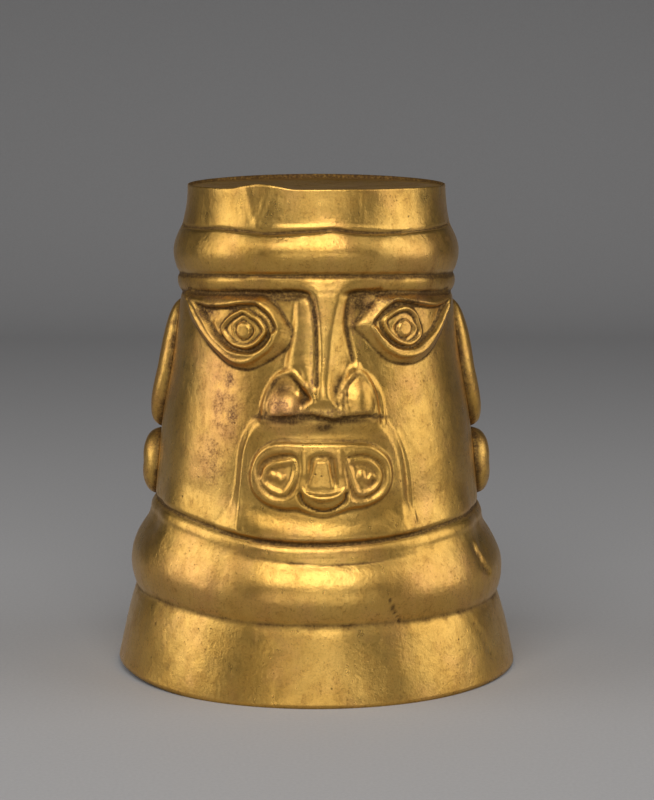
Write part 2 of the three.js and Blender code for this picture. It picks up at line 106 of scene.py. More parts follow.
# The bent mouth, and the wave in the lip of the closed end
MOUTH_BEND = {"left": 3.2, "right": 1.2}
MOUTH_BEND_REACH = 26.0
LIP_WAVE_HEIGHT = 2.0
LIP_WAVE_ANGLE = math.radians(-25)
LIP_WAVE_SPREAD = math.radians(17)
LIP_SADDLE = 0.9

# The closed end
LIP_STAND = 1.2
PLATE_THICKNESS = 0.8
PLATE_DISH = 1.4
LEDGE_WIDTH = 2.6
LEDGE_THICKNESS = 0.8
LEDGE_TOP = LIP_LEVEL - LIP_STAND - PLATE_THICKNESS - SEAM
LEDGE_BOTTOM = LEDGE_TOP - LEDGE_THICKNESS
BORE_RADIUS = EDGE_RADII[-1] - SHEET

# The ears and their spools
SIDES = {-1: "left", 1: "right"}
EAR_FRONT_ANGLE = math.radians(86.5)
EAR_DROP = 4.3
EAR_TOP = TEMPLE_TOP - EAR_DROP
EAR_LENGTH = 54.4
EAR_WIDTH = 26.0
EAR_STAND = 6.4
EAR_DISH = 2.6
SPOOL_TOP = EAR_TOP - EAR_LENGTH - SEAM
SPOOL_DIAMETER = 28.2
SPOOL_STAND = 6.8
SPOOL_DISH = 1.2
SHELL_POWER = 2.4
SHELL_SEAT = 0.35
BLUNTNESS = 3.0

# How far the hammering moves the surface: its scale across, its scale up, and its depth
HAMMER_MARKS = [(26, 26, 0.42), (14, 60, 0.3), (8, 8, 0.11), (3.6, 3.6, 0.022)]


def smooth(x):
    x = np.clip(x, 0.0, 1.0)
    return x * x * (3 - 2 * x)


def sharp_radius(level):
    """The wall's radius with its creases still sharp."""
    level = np.clip(level, 0, LIP_LEVEL)
    band = np.clip(np.searchsorted(TOPS, level), 0, len(TOPS) - 1)
    share = (level - BOTTOMS[band]) / BANDS_TABLE[band, 0]
    return np.interp(level, EDGE_LEVELS, EDGE_RADII) + BANDS_TABLE[band, 2] * np.sin(np.pi * share)


def radius_at(level):
    """The wall's radius, with its creases a little rounded, most of all the fold over the chin."""
    rounding = CREASE_ROUNDING + CHIN_FOLD_ROUNDING * np.exp(-(((level - CHIN_TOP) / 2.6) ** 2))
    shares = np.linspace(-1, 1, 7)
    return sum(sharp_radius(level + rounding * share) for share in shares) / len(shares)


def height_at(angle, level):
    """The height above the ground, with the climb of the creases, the bent mouth and the lip's wave."""
    climb = np.interp(level, EDGE_LEVELS, EDGE_CLIMBS)
    front = np.maximum(0, np.cos(angle))
    front = np.where(climb > 0, front**CLIMB_POWER, front**DIP_POWER)
    side = np.maximum(0, 2 * np.abs(np.sin(angle)) - 1) ** 2
    bend = np.where(np.sin(angle) < 0, MOUTH_BEND["left"], MOUTH_BEND["right"])
    near_mouth = np.maximum(0, 1 - level / MOUTH_BEND_REACH)
    from_wave = (angle - LIP_WAVE_ANGLE) / LIP_WAVE_SPREAD
    wave = np.maximum(0, 1 - from_wave**2) ** 2 * LIP_WAVE_HEIGHT
    wave += LIP_SADDLE * (np.cos(angle) ** 2 - 0.3)
    near_lip = smooth((level - LIP_LEVEL + LIP_STAND + PLATE_THICKNESS + SEAM) / 2.3)
    lift = LEFT_LIFT * smooth((-angle - LIFT_FROM) / LIFT_SPREAD) * smooth((angle + math.pi) / 1.8)
    near_chin = smooth(level / 22) * smooth((97 - level) / 28)
    degrees = np.degrees(angle)
    waver = sum(size * np.exp(-(((degrees - at) / spread) ** 2)) for at, spread, size in CROWN_WAVER)
    near_crown = np.exp(-(((level - CROWN_TOP) / 4.5) ** 2))
    return (level + climb * front + bend * side * near_mouth + wave * near_lip
            + lift * near_chin + waver * near_crown)


def on_wall(angle, radius, height):
    return np.stack([radius * np.sin(angle), -radius * np.cos(angle), height + 0 * angle], axis=-1)


def curve(points, closed=False, steps=5):
    """A smooth line through points that were measured on the unrolled wall."""
    p = np.array(points, float)
    if closed:
        p = np.vstack([p[-1:], p, p[:2]])
    else:
        p = np.vstack([2 * p[0] - p[1], p, 2 * p[-1] - p[-2]])
    t = np.linspace(0, 1, steps, endpoint=False)[:, None]
    parts = []
    for a, b, c, d in zip(p, p[1:], p[2:], p[3:]):
        bend = (2 * a - 5 * b + 4 * c - d) * t**2 + (3 * b - a - 3 * c + d) * t**3
        parts.append(0.5 * (2 * b + (c - a) * t + bend))
    return np.vstack(parts + [p[-2:-1]])


def rounded_slope(before, after):
    """The slope where two stretches meet, level at a crest or in a valley."""
    same = before * after > 0
    return np.where(same, 2 * before * after / np.where(same, before + after, 1), 0)


class Relief:
    """Heights above the wall at the points of a grid, x across and y up on the unrolled wall."""

    def __init__(self, x, y):
        self.x, self.y = x, y
        self.height = np.zeros_like(x)

    def near(self, line, reach):
        low, high = line.min(0) - reach, line.max(0) + reach
        inside = (self.x > low[0]) & (self.x < high[0]) & (self.y > low[1]) & (self.y < high[1])
        return np.nonzero(inside)

    def distance(self, line, at):
        """How far the chosen points are from a line."""
        x, y = self.x[at], self.y[at]
        best = np.full(len(x), 1e9)
        for a, b in zip(line, line[1:]):
            dx, dy = b - a
            t = np.clip(((x - a[0]) * dx + (y - a[1]) * dy) / (dx * dx + dy * dy + 1e-12), 0, 1)
            best = np.minimum(best, np.hypot(x - a[0] - t * dx, y - a[1] - t * dy))
        return best

    def depth_inside(self, line, at):
        """How far the chosen points lie inside a closed line, less than 0 outside."""
        away = self.distance(line, at)
        x, y = self.x[at], self.y[at]
        inside = np.zeros(len(x), bool)
        for a, b in zip(line, line[1:]):
            if a[1] != b[1]:
                cross = a[0] + (y - a[1]) / (b[1] - a[1]) * (b[0] - a[0])
                inside ^= ((a[1] > y) != (b[1] > y)) & (x < cross)
        return np.where(inside, away, -away)

    def ridge(self, points, height, half, closed=False, crisp=0.5):
        """A raised line, or a groove where the height is below 0."""
        line = curve(points, closed)
        at = self.near(line, half)
        share = np.clip(self.distance(line, at) / half, 0, 1)
        self.height[at] += height * (crisp * (1 - share) ** 1.4 + (1 - crisp) * (1 - share**2) ** 2)

    def field(self, points, height, edge, start):
        """A raised or sunk area whose edge begins so far inside its outline."""
        line = curve(points, closed=True)
        at = self.near(line, edge)
        self.height[at] += height * smooth((self.depth_inside(line, at) - start) / edge)

    def loft(self, outline, inner, height, power):
        """A slope that climbs from one closed line to another inside it, and stays flat within."""
        outline, inner = curve(outline, closed=True), curve(inner, closed=True)
        at = self.near(outline, 0.0)
        climbed = np.maximum(0, self.depth_inside(outline, at))
        left = np.maximum(0, -self.depth_inside(inner, at))
        self.height[at] += height * (climbed / (climbed + left + 1e-6)) ** power

    def dome(self, middle, size, base, height):
        """A domed area, oval on the wall."""
        share = ((self.x - middle[0]) / size[0]) ** 2 + ((self.y - middle[1]) / size[1]) ** 2
        domed = base + height * np.maximum(0, 1 - share) ** 0.85
        self.height = np.maximum(self.height, np.where(share < 1, domed, 0))

    def sections(self, cuts):
        """A form given by cross sections: at each height on the wall, points across with heights."""
        rows = sorted((float(level), xs, hs) for level, (xs, hs) in cuts.items())
        levels, across, heights = map(np.array, zip(*rows))
        at = self.near(np.array([(across.min(), levels[0]), (across.max(), levels[-1])]), 0.0)
        x, y = self.x[at], self.y[at]
        places = [np.interp(y, levels, column) for column in across.T]
        values = [np.interp(y, levels, column) for column in heights.T]
        widths = [np.maximum(1e-6, b - a) for a, b in zip(places, places[1:])]
        climbs = [(b - a) / w for a, b, w in zip(values, values[1:], widths)]
        flat = np.zeros_like(x)
        slopes = [flat] + [rounded_slope(a, b) for a, b in zip(climbs, climbs[1:])] + [flat]
        found = np.zeros_like(x)
        for i, (left, wide) in enumerate(zip(places, widths)):
            t = (x - left) / wide
            curved = ((1 + 2 * t) * (1 - t) ** 2 * values[i] + t * t * (3 - 2 * t) * values[i + 1]
                      + wide * t * (1 - t) * ((1 - t) * slopes[i] - t * slopes[i + 1]))
            found = np.where((t >= 0) & (t < 1), curved, found)
        self.height[at] = np.maximum(self.height[at], found)

    def soften(self, passes):
        for _ in range(passes):
            for axis in (0, 1):
                before, after = np.roll(self.height, 1, axis), np.roll(self.height, -1, axis)
                self.height = (before + 2 * self.height + after) / 4


def table(text):
    """Rows of numbers by name: "name: a b, c d; ..." gives {"name": [(a, b), (c, d)], ...}."""
    rows = {}
    for entry in text.split(";"):
        name, row = entry.split(":")
        rows[name.strip()] = [tuple(map(float, item.split())) for item in row.split(",")]
    return rows


# The lines of the face, measured in the photograph and laid out on the unrolled wall: at each
# point how far it is across and how high. The disc of an eye has its radius as well.
LEFT_EYE = table("""
top: -66.4 158.2, -60 158.2, -51 158.3, -42 158.9, -34.2 159.3, -27.3 159.7, -22.1 159.1, -18 157.2,
  -15.2 154.7, -13.3 152, -11.4 148.8, -9.5 146.1, -8.7 143.7;
low: -60.5 155.9, -55.5 155, -49.7 154.3, -45.2 154, -40.1 154.4, -35.2 155.1, -30.7 156.1, -26.3 156.5,
  -23.4 156.4, -21.4 155.3, -18.8 153.5, -16.9 151.4, -15.5 148.7, -14.7 146.2;
outer lid: -65.6 157.6, -62.2 155.6, -59.3 153.7, -56.6 151.2, -54 148.4, -51 145.5, -48 142.9, -45 140.4,
  -42 138.1, -38.9 136.2, -35.9 134.3, -32.7 132.9, -29.6 132.7, -26.6 133.3, -23.7 134.7, -20.8 136.6,
  -18.3 138.6, -16.4 141.1, -15.3 143.6, -14.6 145.2;
inner lid: -57.6 154.8, -53.8 153, -51.9 150.8, -49.2 148.6, -47.1 146.3, -45 143.9, -42.6 141.7, -40 139.7,
  -36.6 137.5, -34.6 136.6, -32 136, -29 135.7, -25.4 135.8, -22.5 137, -20.3 138.5, -18.6 140.2,
  -17.2 142.4, -16.1 144.6;
foot: -68.5 155.5, -64.6 150.4, -61.5 146.9, -56.5 144, -52.2 140.9, -48 138, -43.8 135.1, -39.6 132.4,
  -36.1 130.8, -32.1 129.9, -28 129.7, -25.2 130.4, -20.8 132.2, -17.1 134.6, -13.7 136.9, -10.9 139.1,
  -9.2 141.4;
iris: -39.1 144.9, -38.4 146.9, -36.3 149.2, -33.7 151.1, -31.1 152.4, -29.2 153.2, -27.4 152.6, -25 151.3,
  -22.7 150.1, -21 148.3, -19.8 146.4, -19.4 145, -20.4 143.3, -21.5 141.9, -23.3 140.2, -25 139.2,
  -27.4 138.4, -30.4 138.5, -33.6 139.3, -36.2 141, -38 142.9;
ring: -33.7 145.3, -33.6 147.2, -31.1 148.9, -28.9 150.3, -26.4 148.8, -24.2 146.9, -23.6 145.2, -24.5 143.2,
  -26.4 141.6, -29.2 140.8, -32 141.7, -33.3 143.4;
facet 1: -43 147.4, -41.4 144.8, -39.8 143.1;
facet 2: -22.5 152.1, -20.4 150.6, -18.6 148.5, -17.6 146.3, -17.1 144.3;
disc: -28.9 145.1 3.3
""")
RIGHT_EYE = table("""
top: 14.2 146.8, 16.5 149.9, 18.9 152.7, 21.3 154.9, 23.8 157.2, 26.6 159.2, 31 160, 36.8 159.7, 45 158.9,
  54.9 158, 62.5 157.9, 71.8 157.9;
low: 21.4 148.1, 22 149.7, 23.3 151.4, 25.2 153.4, 27.5 155.1, 29.9 156.6, 32.9 157.4, 37.7 156.4, 44 155,
  51.3 153.7, 57.9 153.9, 64.5 154.9;
outer lid: 21.1 146.9, 22.2 145, 23.8 142.7, 25.5 140.4, 27.7 138.2, 30 136.8, 33 135.5, 36.1 134.9,
  39.3 135, 42.7 135.6, 45.6 136.7, 48.8 138.8, 51.8 141.1, 54.3 143.5, 56.4 145.9, 58.7 148.3, 61 150.8,
  63.7 153.4, 67.4 155.6, 71.2 157.2;
inner lid: 22.6 146.4, 24.6 143.4, 26.4 141.5, 28.6 139.6, 31.2 138, 34.9 136.9, 38.7 136.8, 42 137.3,
  44.8 138.6, 48 140.4, 51.9 143, 54.6 145.6, 57 148, 59.6 150.6, 62.2 152.9;
foot: 15.1 146, 17.3 144, 19.7 142, 22 139.3, 24.8 136.6, 28.3 133.8, 31.9 132.3, 36.3 131.5, 41.1 131.3,
  45.1 132, 49.1 133.5, 53.6 136.1, 57.2 138.9, 63.1 143.6, 69.6 149.6, 73.4 154.8;
iris: 26.2 148.7, 27.4 150.5, 29.7 151.9, 32.1 153.1, 35.2 153.7, 37.8 153.5, 40.6 151.9, 42.3 149.9,
  43 147.5, 44.1 145.3, 44.4 143.2, 43.2 141.2, 40.7 139.6, 38.3 138.9, 35.8 139.3, 33.3 140.2, 31.5 141.3,
  29.7 142.8, 28.2 144.4, 27.1 146;
ring: 29.9 146.3, 31.5 148.1, 33.4 149.3, 35.2 149.8, 37.5 149.3, 39.5 147.8, 41.2 146.1, 42 144.9,
  41.3 143.4, 39.4 142, 36.8 141.4, 34.2 142, 32.1 143.6, 30.4 145;
facet 1: 23.9 147.7, 24.6 145.8, 26.4 143.2, 27.7 141.9;
disc: 36 145.5 3.3
""")
NOSE = table("""
left bridge line: -13 160.8, -6.3 160.5, -4 159.6, -2.4 157.7, -1.4 155.3, -0.6 151.8, -0.2 147.1, 0 143,
  0.2 134.3, 0.3 125;
right bridge line: 27 160.8, 19.4 160.7, 15.1 159.7, 13.1 157.3, 12.1 154.6, 11.7 149.9, 11.9 145.8,
  12.5 142.9, 13.5 138.2, 14.5 134;
underside: -26 111.7, -20.8 111.9, -16.4 112.3, -11.8 112.7, -7.2 113.3, -1.2 113.4, 1.8 112.8, 4.3 112,
  6.3 111.2, 8.6 111.9, 11.5 112.5, 15 112.7, 19 112.8, 23.4 112.2, 30 111;
left nostril: -20.6 111, -20.9 115.5, -20.4 118.1, -19.3 121, -17.8 124, -16.2 126.6, -13.7 128.6,
  -10.7 129.6, -8.6 129.4, -7.3 128, -5.6 125.8, -4.6 124.2;
right nostril: 9 116.2, 9.5 119.3, 9.8 122, 11 124.9, 12.5 127, 14.5 128.9, 16.1 129.5, 18.7 128.1, 21 125.2,
  22.7 122, 24.1 118.1, 24.4 114.4, 24 110.5;
left curl: -4.4 125.5, -3 122.3, -1.2 119.7, -0.7 118.3;
outer left curl: -7.2 124, -6.6 121.4, -4.1 119.1, -2.4 117.8, -0.9 118.1;
right curl: 4.7 119.7, 6.2 117.1, 7.9 115.6, 9.4 115.4;
right hook: 12.6 119.4, 10.6 119.8, 9.6 121.9;
right nose fold: 16.5 132.2, 16.8 130.8, 21.8 127, 24.8 122.6, 26.6 118, 27.5 113, 27.6 109.5
""")
MOUTH = table("""
muzzle foot: -50 58, -44 66, -36.4 75, -33.8 85, -33.1 93, -31.8 100.6, -29.2 106, -26.3 109.9, -20 114,
  -8 116, 4 116, 16 116, 27 111, 32 106.2, 35.2 99.6, 37 92.8, 38 85.2, 38.7 78.3, 44 69, 54 58;
muzzle crest: -31.4 56, -31.4 66, -31.1 75, -30.5 84, -29.8 92, -28.6 98.8, -26.5 104.1, -23.5 108.6,
  -18 112, -8 113.5, 4 113.5, 15 113, 23.5 109, 28 104.9, 31.4 99, 33.3 92.5, 34.4 85, 35 78, 35.3 70,
  35.4 56;
cheek fold: 33.6 104.9, 36.8 98.7, 38.9 92.5, 40.2 84.8, 40.8 78, 41.2 70;
philtrum: -17 110.5, -6 112, 4 112, 14 112, 22 110.5;
jaw flare: -68 66, -46 63, -26 60.5, -8 58.6, 8 58, 24 59, 38 60.6, 58 62.6, 70 64;
under mouth: -24 77, -8 73.6, 4 72.6, 16 73.4, 30 76;
frame: -25.6 89.5, -24 94.8, -21.3 98.7, -16.8 101.4, -10.9 102.1, -4.5 101.9, 3.4 101.9, 12 101.7, 19.4 101,
  24 98.9, 27.9 95.1, 29.4 89.9, 29 85.5, 26.4 81.2, 22.5 78.8, 17.9 77.5, 13.3 77, 9 75.8, 2.8 74.3,
  -3.4 75.6, -7.4 77, -11.7 76.7, -16.9 77.5, -21 79.3, -24 82.1, -25.4 85.6;
left cell: -22.7 88.8, -23 92.3, -20.7 96, -16.3 98.2, -10.2 98.7, -7 96.9, -6.2 92.4, -6.8 87.2, -8.4 82.7,
  -11.9 80.3, -17.1 80.6, -20.9 83.6;
right cell: 11.1 96.2, 13.9 97.9, 19.7 98, 24.9 95.1, 27.2 90.7, 26.5 84.9, 23.4 80.7, 18.2 78.9, 13.9 79.7,
  12.4 83.3, 11.3 89.3;
centre cell: -2.9 95.8, -1.2 97.9, 2.2 98.5, 5.6 97.9, 7 95.8, 7.4 91, 7.8 86, 2.6 84.6, -3.5 86, -2.9 91;
left tusk: -20.6 89.6, -20.2 91.4, -18.9 93, -16 94.4, -11.5 95.4, -8.4 95.9, -7.6 94, -7.5 91, -8.4 87.6,
  -10.2 84.2, -11.8 82.4, -14.4 82.2, -17.4 83.3, -19.9 85.3, -21.3 87.6;
right tusk: 11.6 95.3, 13.6 95.9, 16.6 95.9, 20.4 95, 23.6 92.6, 25.2 89.6, 24.8 86.4, 23 83.8, 20.2 82.2,
  17.4 81.7, 15.3 82.6, 14 86, 12.6 90.8;
left knob: -17.9 89.2, -17.2 90.2, -16.3 88.6, -14.9 89.4, -13.9 87.4, -12.4 88.8;
right knob: 16.2 88.6, 17.4 90.4, 18.4 88, 20 87.4, 21.2 89, 22.4 88.6;
left divider: -4.6 98.6, -4.5 94, -4.6 90.5;
right divider: 8.6 98.4, 9 94, 9.2 90.5;
tooth: -0.4 95.4, 1.6 95.8, 4.4 95.4, 5.4 91, 6.2 85.6, 2.5 84.9, -2.9 85.6, -1.6 91;
lip: -6.1 85.2, -3.6 83.7, -0.6 82.7, 2.7 82.4, 6.1 82.8, 9 83.8, 11.5 85.4, 9.4 82.2, 6.4 80.6, 2.7 79.9,
  -1 80.5, -4.1 82;
tongue: -5.9 83.2, -4.3 79.5, -0.9 77.3, 2.7 76.5, 6.4 77.3, 9.9 79.9, 11 83.2, 6.8 81.2, 2.6 80.4, -1.6 81.2;
tongue groove: -6.4 83, -4.9 79, -1 76.5, 2.7 75.7, 6.5 76.5, 10.5 79.4, 11.6 83
""")

# The nose in cross sections: height on the wall, then places across and heights above the wall, at
# the foot, crest and foot of the outer fold, the inner fold, the crease beside the bridge, the
# bridge's two edges, its right flank and its foot, and the right nostril's rim and inner foot
SECTIONS = table("""
167.3: -14 -12.5 -11 -9.4 -7.6 -1 9.6 14 18 19 20, 0 0 0 0 0 0 0 0 0 0 0;
165.5: -14 -12 -10.4 -8.8 -7 -1 9.6 14 18.5 19 20, 0 0 0.02 0.05 0.08 0.15 0.15 0.08 0 0 0;
164: -14 -12 -10.4 -8.6 -6.6 -1 9.6 14.6 18.5 19 20, 0 0.05 0.1 0.16 0.26 0.5 0.5 0.26 0 0 0;
162.3: -13 -10.8 -9.2 -7.6 -6 -0.6 9.4 14 18.5 19 20, 0 0.1 0.2 0.4 0.7 1.4 1.4 0.65 0 0 0;
161.4: -11 -9.2 -8 -6.8 -5.4 -0.3 9 13.6 17.6 19 20, 0 0.1 0.2 0.4 0.8 2.28 2.28 0.85 0 0 0;
160.6: -10 -8.6 -7.4 -6 -4.6 0 8.6 13 16.6 18 19, 0 0.2 0.3 0.5 0.8 2.75 2.75 0.95 0 0 0;
158.8: -9 -7.2 -5.6 -4.2 -2.8 0.4 7.8 11.6 14.6 16 19, 0 0.7 0.8 0.95 0.95 2.95 2.95 1.2 0 0 0;
156.5: -9 -7 -5.1 -3.5 -2 0.8 7.2 10.2 13 16 19, 0 1.15 1.35 1.5 1.4 3 2.9 1.5 0 0 0;
149: -9.6 -7.2 -5.3 -3 -0.4 1.4 5.8 8.6 12.4 16 19, 0 1.5 1.95 2.3 2.3 3.7 3.5 1.9 0 0 0;
143: -10.8 -8.2 -6.2 -2.8 0.1 1.7 4.8 7.8 12.9 16 19, 0 1.7 2.3 2.85 2.8 4.4 4.2 2.3 0 0 0;
137: -12 -9.4 -7.1 -3 0.3 1.8 4.3 7.4 13.2 16 19, 0 1.9 2.6 3.4 3.4 5.1 4.9 2.8 0 0 0;
132: -13 -10.4 -8 -3.2 0.4 1.7 4 7 12.6 16 19, 0 1.9 2.9 4.1 4.1 5.7 5.5 3.2 0 0.4 0;
129.3: -11.6 -9.8 -7 -3.3 0 0.8 4 6.6 11.2 13.6 16, 0 1.9 2.4 4.6 4.3 6 5.7 3.6 0.9 2.3 1;
127: -8.4 -7 -5.6 -2.8 0.1 0.9 3.9 6.2 10 12 14.5, 0 2.6 3.4 5 4.7 6.3 6 3.8 1.5 2.9 1.2;
123: -5.6 -4.4 -3.4 -1.6 0.1 1.1 4.1 5.8 7.8 10 12.5, 0 3.6 4.6 5.9 5.5 7 6.8 4.5 3.3 4 2;
119.6: -3.6 -2.4 -1.6 -1 -0.3 1.4 4.5 5.8 6.9 9.4 12, 0 4 5.4 6.4 6.2 7.6 7.4 5.7 4.8 5.2 3.2;
117.8: -6 -4.5 -3 -2.4 -1.4 1.4 5.2 6.8 7.8 9.2 12, 0 3.6 4.6 5 5.6 6.2 6.2 5.4 4.6 5.5 4;
115.8: -8 -5.5 -4 -2.4 -1.4 1.6 5.4 7 8.4 9.2 12.5, 0 3.8 4.6 5 5.2 5.6 5.6 5.4 5 5.6 4.7;
108: -10 -6.5 -4.5 -2.4 -1.4 1.6 5.4 7 8.6 9.6 12.5, 0 4 4.8 5.4 5.6 5.8 5.8 5.6 5.3 5.4 4.8
""")

# How high the eyes and the left nostril's rim stand, how deep the eyes lie in, and how many points
# of the mouth's frame are its top
EYE_HEIGHT = 3.1
SOCKET_DEPTH = 1.9
NOSTRIL_RIM = 1.3
FRAME_TOP_POINTS = 13

# Marks beyond the face, each with its height and half width and then its points: the sharp crease
# under the crown band, a dent in that band, folds and a scratch
MARKS = table("""
crown crease: -0.7 1.3, -77 182.9, -57 183.3, -43 184.4, -32 184, -19.5 183.3, -9.7 183.8, -0.2 184.4,
  6.9 185.2, 14 184.1, 24 183.4, 38.7 183.2, 54 183.4, 76 183.7;
crown ledge: 0.45 1.2, -16 185.6, -6 185.8, 2 186.1, 11.7 185.8, 24.3 184.9, 40 184.2;
dent's left: 0.22 2.6, -28.8 200, -26.6 193, -24.4 187.1;
dent's right: 0.2 2.2, -18.9 200, -21.6 193, -24 187.1;
crown fold: 0.14 1.6, 18.6 200, 18.8 192, 18.4 186.6;
roll crease: -0.9 1.6, 77.2 55.1, 79 52, 82 49.6, 84 46.5, 88.6 43.4;
roll crest: 0.5 1.6, 79.6 56, 83 51.6, 86 48;
scratch: -0.5 1.3, 29.6 41, 31.3 36.7, 34 32.1;
flare fold: -0.35 1.2, 72.8 25.7, 75.6 23.4, 79.8 19.4, 82.6 15, 88.4 9.8;
chin fold: -0.1 1.3, -46.2 59.5, -23.6 56.7, -7.2 55.4, 4 54.8, 16.9 55, 34.2 56.3, 50.4 58.2
""")
CHIN_FOLD = MARKS["chin fold"][1:]


def add_eye(relief, eye, turn):
    """A winged field with a band for the upper lid, two lines for the lower one, and a sunk eye."""
    def between(first, second):
        return (eye[first] + eye[second][::-1])[::turn]

    relief.loft(between("top", "foot"), between("low", "outer lid"), EYE_HEIGHT, 0.85)
    relief.field(between("top", "low"), 0.5, 0.9, -0.2)
    relief.field(between("low", "inner lid"), -SOCKET_DEPTH, 1.3, 0.1)
    relief.ridge(eye["outer lid"], 1.1, 1.1, crisp=0.9)
    relief.ridge(eye["inner lid"], 1.1, 0.9, crisp=0.9)
    relief.ridge(eye["low"], 0.5, 0.9, crisp=0.8)
    relief.field(eye["iris"], 1.5, 0.9, -0.7)
    relief.ridge(eye["iris"], 0.4, 0.8, closed=True, crisp=0.8)
    relief.field(eye["iris"], -1.3, 1.2, 0.6)
    relief.ridge(eye["ring"], 0.8, 0.8, closed=True, crisp=0.7)
    for name in eye:
        if name.startswith("facet"):
            relief.ridge(eye[name], 0.9, 1.2)
    x, y, size = eye["disc"][0]

    def circle(radius):
        turns = np.linspace(0, 2 * math.pi, 9)[:-1]
        return [(x + radius * math.sin(t), y + radius * math.cos(t)) for t in turns]

    relief.ridge(circle(size + 0.5), -0.6, 0.7, closed=True)
    relief.field(circle(size), 1.2, 0.5, -0.3)


def add_nose(relief):
    """The bridge with its folds, opening into the brow, over two domed nostrils."""
    nose = Relief(relief.x, relief.y)
    left, right = NOSE["left nostril"], NOSE["right nostril"]
    nose.field(left + [(-4, 110)], 1.7, 2.0, -0.4)
    nose.field(right, 2.2, 1.8, -0.4)
    nose.dome((-11.8, 114.4), (8.6, 10.2), 0.4, 5.4)
    nose.dome((16.3, 116.8), (8.0, 12.8), 0.2, 5.2)
    nose.sections(SECTIONS)
    nose.soften(3)
    nose.ridge(NOSE["left curl"], 0.5, 0.8, crisp=0.9)
    nose.ridge(NOSE["outer left curl"], 0.6, 0.9)
    nose.ridge(NOSE["right curl"], 0.7, 0.9, crisp=0.9)
    nose.ridge(NOSE["right hook"], 0.5, 0.9)
    under = np.array(NOSE["underside"])
    cut = smooth(relief.y - np.interp(relief.x, under[:, 0], under[:, 1]) + 0.5)
    relief.height = np.maximum(relief.height, nose.height * cut)
    relief.ridge(left, NOSTRIL_RIM, 2.0)
    relief.ridge(right[4:], 1.0, 1.6, crisp=0.6)
    for side in SIDES.values():
        relief.ridge(NOSE[side + " bridge line"], -0.7, 1.5, crisp=0.2)
    relief.ridge(NOSE["right nose fold"], 0.6, 1.1)


def add_mouth(relief):
    """The raised muzzle, and on it the frame of the mouth round two curled tusks, a tooth and a tongue."""
    crest, frame = MOUTH["muzzle crest"], MOUTH["frame"]
    relief.loft(MOUTH["muzzle foot"], crest, 1.9, 0.9)
    relief.ridge(MOUTH["philtrum"], 1.5, 7.5, crisp=0.0)
    relief.ridge(MOUTH["under mouth"], -1.0, 8.0, crisp=0.0)
    relief.ridge(crest[1:7], 0.35, 1.2)
    relief.ridge(MOUTH["cheek fold"], 0.45, 1.2)
    relief.field(frame, 1.7, 1.8, -1.0)
    relief.ridge(frame, 0.3, 0.9, closed=True, crisp=0.9)
    relief.ridge(frame[:FRAME_TOP_POINTS], 0.4, 0.9, crisp=0.9)
    for side in SIDES.values():
        tusk = MOUTH[side + " tusk"]
        relief.field(MOUTH[side + " cell"], -1.8, 2.0, -0.5)
        relief.field(tusk, 1.2, 1.3, -0.7)
        relief.ridge(tusk, 1.0, 1.0, closed=True, crisp=0.7)
        relief.field(tusk, -0.9, 1.4, 0.7)
        relief.ridge(MOUTH[side + " knob"], 1.2, 1.3, crisp=0.4)
        relief.ridge(MOUTH[side + " divider"], 0.5, 2.0, crisp=0.0)
    relief.field(MOUTH["centre cell"], -1.2, 1.6, -0.5)
    relief.field(MOUTH["tooth"], 1.5, 1.1, -0.5)
    relief.field(MOUTH["tongue"], 0.5, 1.4, -0.2)
    relief.ridge(MOUTH["tongue groove"], -1.5, 1.1)
    relief.field(MOUTH["lip"], 2.1, 1.1, -0.3)


def hammering(points):
    """How far hammer marks push each point out or in."""
    total = np.zeros(points.shape[:-1])
    for layer, (across, up, depth) in enumerate(HAMMER_MARKS):
        scaled = points / (across, across, up) + (11.3 * layer, 4.7, 9.1)
        values = [noise.noise(Vector(place)) for place in scaled.reshape(-1, 3).tolist()]
        total += depth * np.reshape(values, total.shape)
    return total


def graded(stops):
    """Angles in degrees with a step of their own over each stretch."""
    return np.concatenate([np.linspace(start, end, round((end - start) / step), endpoint=False)
                           for start, end, step in stops])


# The grooves in the creases: level, depth, half width, and how far the bridge of the nose fills them
GROOVES = [(FLARE_TOP, 0.35, 2.2, 0.0), (COLLAR_TOP, 0.8, 1.1, 0.0),
           (TEMPLE_TOP - 0.7, 0.9, 1.1, 1.0), (BROW_TOP, 0.8, 1.2, 0.4)]


def bridge_at(x, y):
    """1 where the bridge of the nose runs into the brow, 0 away from it."""
    spread = 11.5 + 4.0 * smooth((y - 159) / 4)
    return smooth((spread - np.abs(x - 4.4)) / 8.5) * smooth((169.5 - y) / 5)


def wall_relief(angle, level):
    """The face and the marks of age, as heights above the plain wall."""
    height = height_at(angle, level)
    across = angle * radius_at(height)
    face, marks = Relief(across, height), Relief(across, height)
    add_mouth(face)
    add_eye(face, LEFT_EYE, 1)
    add_eye(face, RIGHT_EYE, -1)
    add_nose(face)
    face.soften(1)
    fade = smooth((level - COLLAR_TOP + 1) / 3) * smooth((BROW_TOP + 6 - level) / 4)
    away = np.abs(angle)
    sides = smooth((math.radians(78) - away) / math.radians(14))
    for (size, half), *points in MARKS.values():
        marks.ridge(points, size, half)
    for deeper in (CHIN_FOLD[1:], CHIN_FOLD[1:6]):
        marks.ridge(deeper, *MARKS["chin fold"][0])
    marks.ridge(MOUTH["jaw flare"], 1.8, 18.0, crisp=0.0)
    front = smooth((math.radians(96) - away) / 0.4)
    bridge = bridge_at(across, height)
    for edge, depth, half, bridged in GROOVES:
        groove = depth * np.exp(-(((level - edge) / half) ** 2))
        marks.height -= groove * (0.3 + 0.7 * front) * (1 - bridge * bridged)
    brow_share = np.clip((level - TEMPLE_TOP) / (BROW_TOP - TEMPLE_TOP), 0, 1)
    flattened = BROW_FLATTENING * np.sin(np.pi * brow_share) * smooth((math.radians(84) - away) / 0.3)
    return face, face.height * fade * sides + marks.height - flattened * (1 - bridge)


